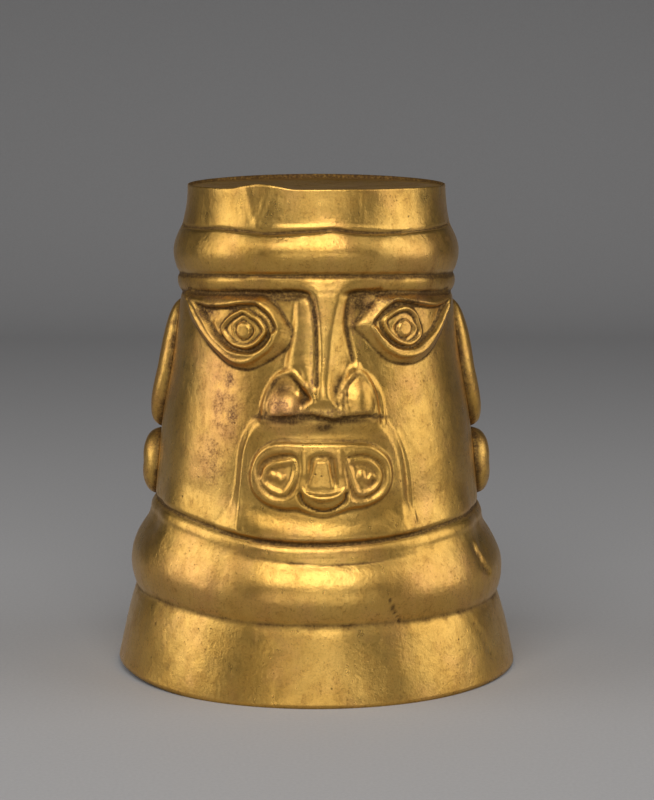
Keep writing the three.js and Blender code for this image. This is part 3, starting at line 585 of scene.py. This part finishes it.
def blurred(values, passes):
    for _ in range(passes):
        for axis in (0, 1):
            values = (np.roll(values, 1, axis) + values + np.roll(values, -1, axis)) / 3
    return values


# Spots by kind: where on the unrolled wall, how wide and tall, and how strong. There are stains, rosy
# gold, grime with painted shade, which darkens under the nose, the brows and some bright ledges, and the
# mouth, whose hollows get less dirt and painted shade.
SPOTS = table("""
stains: -37 125 3 4 0.95, -35.5 112 3.5 5 0.9, -39 116 9 20 0.48, -45 92 8 16 0.45, -31 100 4 12 0.3,
  -0.6 151.5 1.8 6.5 1.1, -1.8 139 0.9 8 0.75, -1.6 127 1.2 5 0.9, -13 117 7 4.5 0.75, -6 114.5 9 1.8 0.8,
  4 114.6 8 2.4 0.9, -4.5 121 2.4 5 0.75, 16 114 7 1.6 0.6, -44 157 11 2.2 0.85, -29 158 9 1.8 1,
  -58 156.5 6 2.4 0.9, 22 156 4.5 4 0.85, 29 157.6 7 2.2 1, 45 156.7 11 2.2 0.85, 62 156.3 9 2 0.8,
  31 154.4 6 1.4 0.75, 17.5 140 2.2 8 0.6, 14.5 150 1.6 9 0.7, -48 151.5 6 3.4 0.95, -34 153.5 6 1.2 0.7,
  48 150 3 3 0.5, 36 151 4 1.2 0.5, 30 98 4 8 0.3, 33 84 3 8 0.3, -49 100 5 12 0.25, 60 172 12 6 0.35,
  66 178 8 3 0.4, -25 64 14 1.6 0.4, 78 49 5 6 0.35;
flush: -42 121 12 22 0.95, -50 95 10 14 0.5, -58 46 24 8 0.6, -13 116 8 6 0.8, 48 172 18 7 0.5,
  48 46 20 8 0.5, -20 42 14 6 0.4;
grime: -12 110.9 10 1.5 1, 12 110.9 12 1.5 1, 3.5 108.6 4.5 2.6 0.9, 0 112 22 1 1, 17 157.6 3.2 1.6 0.9,
  -6.5 160.4 2.5 0.7 0.9, 16.6 155.4 3.2 4.2 0.95, -11.5 156.5 2.6 3.4 0.4, 20 150 2.4 3 0.4,
  -12.5 123.6 5.5 2.8 0.7, 8.2 125 2.4 7 0.6, -12 157.9 8 1.5 0.95, -4.5 119.5 2.6 3.4 0.65,
  -62 161.5 16 2.6 0.4, 62 162.5 18 2.8 0.5, 32 165 12 1.4 0.35, -30 160.9 16 0.9 0.5, -47 151.8 5 2.2 0.5,
  30 36.7 2 4 0.4, 80 50 2.5 5 0.4, -67 10 3 2 0.5, 33.5 3 3 1.6 0.5;
clean: 1.8 87 34 17 1
""")
# Dirt and painted shade in the creases: level, strength, how wide it lies, and how far the bridge of the nose
# hides it
CREASE_DIRT_AND_SHADE = [(FLARE_TOP - 0.3, 0.6, 1.8, 0.0), (COLLAR_TOP, 0.9, 1.1, 0.0),
               (TEMPLE_TOP - 0.4, 1.05, 1.5, 1.0), (BROW_TOP - 0.7, 1.05, 1.1, 0.35),
               (CROWN_TOP, 0.8, 0.9, 0.0)]


def shrunk(outline, share):
    """The same outline, drawn in towards its middle."""
    points = np.array(outline)
    return (points.mean(0) + share * (points - points.mean(0))).tolist()


# Lines that dirt and painted shade follow, with their half widths and strengths: painted shadow under the
# nose, beside the ears, under each eye and its brow, and round each iris
DIRT_AND_SHADE_LINES = [
    (MOUTH["tongue groove"], 0.8, 0.7), (NOSE["underside"], 1.3, 0.7),
    (NOSE["left bridge line"][2:], 1.4, 0.75), (NOSE["right bridge line"][1:], 2.0, 0.9),
    (shrunk(NOSE["right nostril"], 0.9), 1.5, 0.5), (shrunk(NOSE["left nostril"], 0.86), 1.4, 0.6),
    (CHIN_FOLD, 1.5, 0.2), (CHIN_FOLD[1:6], 1.5, 0.25),
]
for side, label in SIDES.items():
    cell = MOUTH[label + " cell"]
    ear_front = [(side * 91, 72), (side * 90, 100), (side * 87.5, 125), (side * 85, 151)]
    DIRT_AND_SHADE_LINES += [(cell + cell[:1], 0.7, 0.35), (ear_front, 4.5, 0.5)]
for eye in (LEFT_EYE, RIGHT_EYE):
    around = eye["iris"] + eye["iris"][:1]
    DIRT_AND_SHADE_LINES += [(eye["foot"], 1.5, 0.6), (eye["low"], 0.9, 0.8), (eye["top"], 2.1, 0.62),
                   (eye["inner lid"], 2.2, 0.15), (shrunk(around, 1.24), 1.8, 0.5),
                   (shrunk(around, 0.8), 1.2, 0.4)]


def spots_at(face, kind):
    total = np.zeros_like(face.x)
    for across, up, wide, tall, strength in SPOTS[kind]:
        away = ((face.x - across) / wide) ** 2 + ((face.y - up) / tall) ** 2
        total = np.maximum(total, strength * np.exp(-away))
    return total


def crease_dirt(angle, level, face):
    """Dirt and painted shade along the creases, thicker in some places than in others, and along lines of the
    face.
    """
    patches = 0.85 + 0.15 * np.sin(angle * 5 + 1.7) + 0.15 * np.sin(angle * 17 + level)
    total = np.zeros_like(angle)
    bridge = bridge_at(face.x, face.y)
    for edge, strength, wide, bridged in CREASE_DIRT_AND_SHADE:
        along = strength * (1 - bridge * bridged)
        total = np.maximum(total, along * np.exp(-(((level - edge) / wide) ** 2)))
    lines = Relief(face.x, face.y)
    for points, half, strength in DIRT_AND_SHADE_LINES:
        lines.ridge(points, strength, half, crisp=0.0)
    fading = smooth((25 - np.degrees(angle)) / 40) * 0.6 + 0.4
    total *= np.where(level > BROW_TOP + 5, fading, 1)
    return np.maximum(total, np.minimum(lines.height, 0.9)) * np.clip(patches, 0, 1)


def placed(name, data):
    """A new object of that name in the scene."""
    item = bpy.data.objects.new(name, data)
    bpy.context.scene.collection.objects.link(item)
    return item


class Skin:
    """A mesh put together from grids of points, each face with places in the texture."""

    def __init__(self):
        self.points, self.faces, self.materials, self.corners = [], [], [], []
        self.values = {"patina": [], "dirt": [], "flush": []}

    def add_points(self, points, **values):
        start = sum(len(p) for p in self.points)
        flat = points.reshape(-1, 3)
        self.points.append(flat)
        for key, stored in self.values.items():
            stored.append(np.zeros(len(flat)) + np.reshape(values.get(key, 0.0), -1))
        return np.arange(start, start + len(flat)).reshape(points.shape[:-1])

    def add_grid(self, index, outwards=True, material=0, across=None, up=None):
        """Rings of faces between rows of points that close on themselves."""
        rows, columns = index.shape
        across = np.linspace(0, 1, columns + 1) if across is None else across
        up = np.linspace(0, 1, rows) if up is None else up
        after = np.roll(index, -1, 1)
        quads = np.stack([index[:-1], after[:-1], after[1:], index[1:]], -1).reshape(-1, 4)
        u = np.tile(np.stack([across[:-1], across[1:], across[1:], across[:-1]], -1), (rows - 1, 1, 1))
        v = np.stack([up[:-1], up[:-1], up[1:], up[1:]], -1)[:, None, :] + 0 * u
        self.add_faces(quads, outwards, material, np.stack([u, v], -1).reshape(-1, 4, 2))

    def stitch(self, fine, coarse, outwards, across, up):
        """Joins a ring of points to one with half as many."""
        a, b, c = fine[::2], fine[1::2], np.roll(fine, -2)[::2]
        d, e = coarse, np.roll(coarse, -1)
        faces = np.stack([a, b, d, b, e, d, b, c, e], -1).reshape(-1, 3)
        left, middle, right = across[:-1:2], across[1::2], across[2::2]
        u = np.stack([left, middle, left, middle, right, left, middle, right, right], -1)
        v = np.array(up)[[0, 0, 1, 0, 1, 1, 0, 0, 1]] + 0 * u
        self.add_faces(faces, outwards, 0, np.stack([u, v], -1).reshape(-1, 3, 2))

    def add_sheet(self, outer, inner):
        """The two faces of a sheet, from its rim in, joined at the rim and closed in the middle."""
        self.add_grid(outer)
        self.add_grid(inner, outwards=False, material=1)
        self.add_grid(np.vstack([inner[:1], outer[:1]]))
        self.add_faces(outer[-1:])
        self.add_faces(inner[-1:], outwards=False, material=1)

    def add_faces(self, faces, outwards=True, material=0, corners=None):
        turn = 1 if outwards else -1
        corners = np.zeros(faces.shape + (2,)) if corners is None else corners
        self.faces += faces[:, ::turn].tolist()
        self.corners.append(corners[:, ::turn].reshape(-1, 2))
        self.materials += [material] * len(faces)

    def build(self, name, materials, own_places=False):
        mesh = bpy.data.meshes.new(name)
        mesh.from_pydata((np.concatenate(self.points) * MM).tolist(), [], self.faces)
        for material in materials:
            mesh.materials.append(material)
        mesh.polygons.foreach_set("material_index", np.array(self.materials, np.int32))
        mesh.polygons.foreach_set("use_smooth", np.ones(len(self.faces), bool))
        for key, stored in self.values.items():
            made = mesh.attributes.new(key, "FLOAT", "POINT")
            made.data.foreach_set("value", np.concatenate(stored).astype(np.float32))
        if own_places:
            places = mesh.uv_layers.new(name="OFBake")
            places.data.foreach_set("uv", np.concatenate(self.corners).astype(np.float32).ravel())
        mesh.update()
        return placed(name, mesh)


def vessel_wall(materials):
    skin = Skin()
    columns = np.radians(graded(COLUMNS))
    columns = columns[: len(columns) // 2 * 2]
    rows = [np.linspace(low, top, int(count), endpoint=False)
            for low, top, count in zip(BOTTOMS, TOPS, BANDS_TABLE[:, 4])]
    angle, level = np.meshgrid(columns, np.concatenate(rows + [[LIP_LEVEL]]))
    face, raised = wall_relief(angle, level)
    height = height_at(angle, level)
    bumps = hammering(on_wall(angle, radius_at(level) + raised, height))
    calm = smooth(level / 4) * smooth((LIP_LEVEL + 2 - level) / 4)
    pushed = raised + bumps * calm
    outer = on_wall(angle, radius_at(level) + pushed, height)
    # Darker paint in the hollows of the relief, along the creases and at some spots: dirt together with
    # painted shade. The mouth's hollows get less of it.
    hollow_dirt_and_shade = smooth((blurred(raised, 3) - raised) / 0.22 - 0.26)
    hollow_dirt_and_shade *= 1 - 0.45 * spots_at(face, "clean")
    dirt = hollow_dirt_and_shade * 0.85 + crease_dirt(angle, level, face) + spots_at(face, "grime")
    look = {"patina": spots_at(face, "stains"), "dirt": dirt, "flush": spots_at(face, "flush")}

    # The face keeps all its columns. Below and above it every second one is left out.
    face_start, face_end = np.searchsorted(level[:, 0], [CHIN_TOP, BROW_TOP + 4])
    turns = np.concatenate([np.degrees(columns) + 180, [360.0]])
    across = 0.5 * (turns - turns[0]) / (360.0 - turns[0]) + 0.5 * np.linspace(0, 1, len(turns))
    sparse = across[::2]
    up = 0.27 + 0.73 * (0.5 * level[:, 0] / LIP_LEVEL + 0.5 * np.linspace(0, 1, len(level)))

    def part(rows, step):
        at = (rows, slice(None, None, step))
        return skin.add_points(outer[at], **{key: np.clip(values[at], 0, 1) for key, values in look.items()})

    low, high = slice(0, face_start), slice(face_end, None)
    lower, middle, upper = part(low, 2), part(slice(face_start, face_end), 1), part(high, 2)
    skin.add_grid(lower, across=sparse, up=up[low])
    skin.add_grid(middle, across=across, up=up[face_start:face_end])
    skin.add_grid(upper, across=sparse, up=up[high])
    skin.stitch(middle[0], lower[-1], False, across, (up[face_start], up[face_start - 1]))
    skin.stitch(middle[-1], upper[0], True, across, (up[face_end - 1], up[face_end]))

    # The inner face follows the lowest of the relief around each of its points, so it stays inside
    spans = zip(BOTTOMS, np.minimum(TOPS, LEDGE_BOTTOM), INNER_ROWS)
    inner_rows = np.concatenate([np.linspace(*span, endpoint=False) for span in spans] + [[LEDGE_BOTTOM]])
    inner_angle, inner_level = np.meshgrid(columns[::2], inner_rows)
    before, after = np.append(inner_rows[0], inner_rows[:-1]), np.append(inner_rows[1:], inner_rows[-1])
    lowest = np.array([pushed[(level[:, 0] >= low) & (level[:, 0] <= top)].min(0)
                       for low, top in zip(before, after)])
    lowest[0] = pushed[0]
    lowest = np.minimum.reduce([np.roll(lowest, shift, 1) for shift in (-2, -1, 0, 1, 2)])[:, ::2]
    inner_radius = radius_at(inner_level) + np.minimum(lowest, 0.9 * lowest) - SHEET
    inner = skin.add_points(on_wall(inner_angle, inner_radius, height_at(inner_angle, inner_level)))
    inner_up = np.linspace(0.01, 0.19, len(inner_rows))
    skin.add_grid(inner, outwards=False, material=1, across=sparse, up=inner_up)

    ledge_radius = BORE_RADIUS - LEDGE_WIDTH
    profile = [(ledge_radius, LEDGE_BOTTOM), (ledge_radius, LEDGE_TOP), (BORE_RADIUS, LEDGE_TOP),
               (BORE_RADIUS, LIP_LEVEL - 0.25), (BORE_RADIUS + 0.2, LIP_LEVEL)]
    radii, levels = np.array(profile).T
    ring_angle, ring_level = np.meshgrid(columns[::2], levels)
    places = on_wall(ring_angle, radii[:, None], height_at(ring_angle, ring_level))
    # The ledge and the bore under the lip are painted dark: dirt with painted shade.
    rings = skin.add_points(places, dirt=1.3)
    ledge = np.vstack([inner[-1:], rings])
    skin.add_grid(ledge, outwards=False, material=1, across=sparse, up=np.linspace(0.2, 0.24, 6))
    lip = np.vstack([upper[-1:], rings[-1:]])
    skin.add_grid(lip, across=sparse, up=[0.25, 0.255])
    mouth = np.vstack([inner[:1], lower[:1]])
    skin.add_grid(mouth, across=sparse, up=[0.26, 0.265])
    return skin.build("vessel_wall_sheet", materials, own_places=True)


def end_plate(materials):
    skin = Skin()
    edge = BORE_RADIUS - SEAM
    bottom = LEDGE_TOP + SEAM
    angles = np.linspace(-np.pi, np.pi, 120, endpoint=False)
    shares = np.sin(np.linspace(1, 0.03, 34) * np.pi / 2)

    def layer(height):
        angle, share = np.meshgrid(angles, shares)
        dish = -PLATE_DISH * (1 - np.minimum(1, share * edge / (edge - LEDGE_WIDTH)) ** 2)
        points = on_wall(angle, share * edge, bottom + height + dish)
        calm = 1 - smooth((share - 0.86) / 0.1)
        points[..., 2] += 0.6 * hammering(points) * calm
        # Towards its edge the plate is painted darker: dirt with painted shade where it meets the ledge.
        return skin.add_points(points, patina=0.3, dirt=0.6 * smooth((share - 0.86) / 0.14))

    skin.add_sheet(layer(PLATE_THICKNESS), layer(0.0))
    return skin.build("end_plate_dished", materials)


def raised_shell(name, side, top, width, length, stand, dish, blunt, materials):
    """An oval shell on the wall, open behind, with a rim round a dished middle and one blunt end."""
    skin = Skin()
    half_width, half_height = width / 2, length / 2
    level = top - half_height
    base_radius = float(radius_at(level))
    angle = side * (EAR_FRONT_ANGLE + half_width / base_radius)
    turns = np.linspace(0, 2 * np.pi, 96, endpoint=False)
    shares = np.cos(np.linspace(0, 0.985, 30) * np.pi / 2)

    def layer(inset):
        turn, share = np.meshgrid(turns, shares)
        across = (half_width - inset) * share * np.cos(turn)
        up = (half_height - inset) * share * np.sin(turn)
        power = SHELL_POWER + BLUNTNESS * smooth(blunt * np.sin(turn))
        crown = (stand - inset) * np.sqrt(np.maximum(0, 1 - share**power))
        sink = dish * smooth(1 - share / 0.62) * (1 - inset / stand)
        around = angle + across / base_radius
        radius = radius_at(level + up) + SEAM + crown - sink
        bumps = 1.1 * hammering(on_wall(around, radius, level + up)) * smooth((1 - share) / 0.1)
        seated = SHELL_SEAT * smooth((share - 0.9) / 0.1)
        places = on_wall(around, radius + bumps - seated, level + up)
        # Round its rim, where it sits on the wall, the shell is painted darker: dirt with painted shade.
        return skin.add_points(places, patina=0.3, dirt=0.8 * smooth((share - 0.93) / 0.07))

    skin.add_sheet(layer(0), layer(SHEET))
    return skin.build(name, materials)


def ear(side, materials):
    name = "ear_shell_" + SIDES[side]
    return raised_shell(name, side, EAR_TOP, EAR_WIDTH, EAR_LENGTH, EAR_STAND, EAR_DISH, -1, materials)


def ear_spool(side, materials):
    name, across = "spool_shell_" + SIDES[side], SPOOL_DIAMETER
    return raised_shell(name, side, SPOOL_TOP, across, across, SPOOL_STAND, SPOOL_DISH, 1, materials)


class Nodes:
    """A short way to write a material's nodes."""

    def __init__(self, name):
        self.material = bpy.data.materials.new(name)
        self.material.use_nodes = True
        self.tree = self.material.node_tree
        self.shader = self.tree.nodes["Principled BSDF"]

    def add(self, kind, settings=(), **inputs):
        node = self.tree.nodes.new("ShaderNode" + kind)
        for key, value in dict(settings).items():
            setattr(node, key, value)
        return self.set(node, {key.replace("_", " "): value for key, value in inputs.items()})

    def set(self, node, inputs):
        """Gives inputs, by name or by place, their values or links."""
        for key, value in inputs.items():
            if isinstance(value, bpy.types.NodeSocket):
                self.tree.links.new(value, node.inputs[key])
            else:
                node.inputs[key].default_value = value
        return node

    def noise(self, vector, scale, detail, roughness):
        made = self.add("TexNoise", Vector=vector, Scale=scale, Detail=detail, Roughness=roughness)
        return made.outputs["Fac"]

    def math(self, operation, first, second, clamp=False):
        made = self.add("Math", {"operation": operation, "use_clamp": clamp})
        return self.set(made, {0: first, 1: second}).outputs[0]

    def times(self, first, second):
        return self.math("MULTIPLY", first, second)

    def plus(self, first, second, clamp=False):
        return self.math("ADD", first, second, clamp)

    def total(self, start, *terms):
        """The start with each pattern added, times its share."""
        for pattern, share in terms:
            start = self.plus(start, self.times(pattern, share))
        return start

    def remap(self, value, low, high, to_low=0.0, to_high=1.0):
        ends = {"From_Min": low, "From_Max": high, "To_Min": to_low, "To_Max": to_high}
        return self.add("MapRange", Value=value, **ends).outputs[0]

    def mix(self, share, first, second):
        made = self.add("Mix", {"data_type": "RGBA"})
        return self.set(made, {0: share, 6: first, 7: second}).outputs[2]


GOLD = (0.662, 0.38, 0.082, 1)
PALE_GOLD = (0.77, 0.472, 0.12, 1)
DEEP_GOLD = (0.50, 0.258, 0.05, 1)
RED_GOLD = (0.69, 0.353, 0.125, 1)
DARK_GOLD = (0.36, 0.183, 0.042, 1)
PATINA = (0.19, 0.092, 0.062, 1)
# The colour of dirt, and of painted shade in hollows and creases
DIRT_AND_SHADE = (0.07, 0.036, 0.013, 1)


def hammered_gold(name, roughness, wear, streaks=True):
    """Gold with broad changes of colour, fine scratches and pits, stains, and dirt with painted shade in its
    hollows.
    """
    n = Nodes(name)
    place = n.add("TexCoord").outputs["Object"]
    tall = n.add("Mapping", Vector=place, Scale=(1, 1, 0.14)).outputs[0]
    age, dirt_and_shade_mask, flush = (n.add("Attribute", {"attribute_name": key}).outputs["Fac"]
                          for key in ("patina", "dirt", "flush"))
    broad = n.noise(place, 30, 3, 0.55)
    blush = n.noise(place, 55, 4, 0.6)
    cloud = n.noise(place, 170, 4, 0.62)
    grain = n.noise(place, 1000, 4, 0.65)
    fine = n.noise(place, 2300, 3, 0.7)
    streak = n.noise(tall, 520, 3, 0.6)

    rosy = n.times(flush, n.remap(cloud, 0.3, 0.6, 0.5))
    specks = n.times(n.remap(grain, 0.5, 0.68), n.remap(cloud, 0.4, 0.6, 0.15, 0.7))
    coats = [(n.remap(broad, 0.35, 0.65), PALE_GOLD),
             (n.plus(rosy, n.remap(blush, 0.5, 0.72, 0, 0.5), True), RED_GOLD),
             (n.remap(cloud, 0.5, 0.75, 0, 0.5), DEEP_GOLD),
             (specks, DARK_GOLD),
             (n.remap(fine, 0.52, 0.72, 0, 0.4), DARK_GOLD)]
    if streaks:
        coats.append((n.remap(streak, 0.52, 0.75, 0, 0.35), DEEP_GOLD))

    spread = n.plus(age, n.remap(cloud, 0.3, 0.7, -0.3, 0.25))
    speckled = n.times(n.remap(grain, 0.38, 0.58, 0.2), n.remap(fine, 0.35, 0.6, 0.4))
    stained = n.times(n.remap(spread, 0.15, 0.85), speckled)

    # Dirt and painted shade from the mesh, with pits and flecks, darken the colour, dull the metal and
    # roughen it.
    dirt_and_shade_patchy = n.plus(dirt_and_shade_mask, n.remap(cloud, 0.3, 0.7, -0.2, 0.12))
    dirty = n.times(n.remap(dirt_and_shade_patchy, 0.12, 0.8), n.remap(grain, 0.3, 0.55, 0.65))
    pits = n.add("TexVoronoi", Vector=place, Scale=260).outputs["Distance"]
    chance = n.noise(place, 80, 2, 0.5)
    holes = n.times(n.remap(pits, 0.14, 0.07), n.remap(chance, 0.58, 0.66))
    flecks = n.times(n.remap(grain, 0.64, 0.7), n.remap(blush, 0.45, 0.6))
    spots = n.plus(holes, n.times(flecks, 0.6), True)
    dirty = n.math("MAXIMUM", dirty, n.times(spots, 0.85))

    colour = GOLD
    for share, coat in coats + [(n.times(stained, 0.95), PATINA), (n.times(dirty, 0.92), DIRT_AND_SHADE)]:
        colour = n.mix(share, colour, coat)
    rough = n.total(n.plus(roughness, n.remap(cloud, 0.3, 0.7, -0.05, 0.06)), (stained, 0.18), (dirty, 0.25))
    height = n.times(n.noise(place, 320, 2, 0.5), 0.25)
    height = n.total(height, (cloud, 0.6), (grain, 0.2 * wear), (fine, 0.07 * wear), (streak, 0.1),
                     (spots, -0.3), (n.times(stained, grain), -0.5))
    bump = n.add("Bump", Strength=0.42, Distance=0.0008 * wear, Height=height).outputs[0]
    rough = n.plus(rough, n.remap(streak, 0.4, 0.7, 0, 0.05), True)
    n.set(n.shader, {"Base Color": colour, "Metallic": n.total(1.0, (dirty, -0.15)), "Roughness": rough,
                     "Normal": bump})
    return n.material


def floor_material():
    """Pale paper, with painted shade that darkens it as it rises behind the object."""
    n = Nodes("studio_paper")
    place = n.add("TexCoord").outputs["Object"]
    fibre = n.noise(place, 700, 3, 0.6)
    pale = n.mix(n.remap(fibre, 0.3, 0.7), (0.43, 0.43, 0.44, 1), (0.47, 0.47, 0.48, 1))
    rise = n.add("SeparateXYZ", Vector=place).outputs["Z"]
    paper = n.mix(n.remap(rise, 0.0, 0.8), pale, (0.085, 0.085, 0.09, 1))
    n.set(n.shader, {"Base Color": paper, "Roughness": 0.75})
    return n.material


def studio():
    """A pale sweep of paper that rises behind the object."""
    front, back, bend, width, rise = -1.6, 1.1, 0.5, 3.2, 2.4
    turns = np.linspace(0, math.pi / 2, 16)
    arc = [(back + bend * math.sin(t), bend - bend * math.cos(t)) for t in turns]
    outline = [(front, 0.0)] + arc + [(back + bend, rise)]
    points = [(x, y, z) for (y, z) in outline for x in (-width, width)]
    faces = [(2 * i, 2 * i + 1, 2 * i + 3, 2 * i + 2) for i in range(len(outline) - 1)]
    mesh = bpy.data.meshes.new("paper_sweep")
    mesh.from_pydata(points, [], faces)
    mesh.polygons.foreach_set("use_smooth", np.ones(len(faces), bool))
    mesh.materials.append(floor_material())
    sweep = placed("paper_sweep", mesh)


def soft_box(name, azimuth, elevation, distance, width, height, radiance):
    """A lamp that looks at the middle of the object, azimuth 0 being in front and 90 at the right."""
    lamp = bpy.data.lights.new(name, "AREA")
    lamp.shape = "RECTANGLE"
    lamp.size, lamp.size_y, lamp.color = width, height, (1.0, 0.98, 0.95)
    lamp.energy = radiance * math.pi * width * height
    item = placed(name, lamp)
    a, e = math.radians(azimuth), math.radians(elevation)
    middle = Vector((0, 0, 0.1))
    towards = Vector((math.sin(a) * math.cos(e), -math.cos(a) * math.cos(e), math.sin(e)))
    item.location = middle + distance * towards
    item.rotation_euler = towards.to_track_quat("Z", "Y").to_euler()


def world():
    made = bpy.data.worlds.new("studio")
    made.use_nodes = True
    made.node_tree.nodes["Background"].inputs["Color"].default_value = (0.09, 0.09, 0.092, 1)
    bpy.context.scene.world = made


def camera():
    """The camera fitted to the photograph: it looks down by the tilt and a little to the right."""
    tilt, turn = 0.1468, 0.0042
    lens = bpy.data.cameras.new("camera")
    lens.lens, lens.sensor_width, lens.clip_end = 114.75, 36.0, 20.0
    item = placed("camera", lens)
    item.location = (0.0, -1.05, 0.265)
    item.rotation_euler = (math.pi / 2 - tilt, 0.0, -turn)
    bpy.context.scene.camera = item


def dress(piece, node):
    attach(piece, "root")
    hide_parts(node)


outside = hammered_gold("gold_outside", 0.30, 1.0)
inside = hammered_gold("gold_inside", 0.44, 1.4, streaks=False)
plate = hammered_gold("gold_plate", 0.40, 1.3, streaks=False)
ears = hammered_gold("gold_ear", 0.34, 1.2)

dress(vessel_wall([outside, inside]), "vessel_wall")
dress(end_plate([plate, inside]), "end_plate")
for side, label in SIDES.items():
    dress(ear(side, [ears, inside]), "ear_" + label)
    dress(ear_spool(side, [ears, inside]), "ear_spool_" + label)

studio()
world()
camera()
soft_box("left_box", -80, 23, 1.3, 0.9, 1.2, 1.7)
soft_box("right_box", 79, 24, 1.3, 1.0, 1.3, 1.5)
soft_box("front_box", -6, 45, 1.4, 1.2, 0.8, 3.0)
soft_box("front_strip", 4, 28, 1.9, 0.34, 0.66, 2.0)
soft_box("front_fill", 0, 2.5, 2.2, 2.4, 0.34, 2.2)

bpy.context.scene.view_settings.view_transform = "Standard"
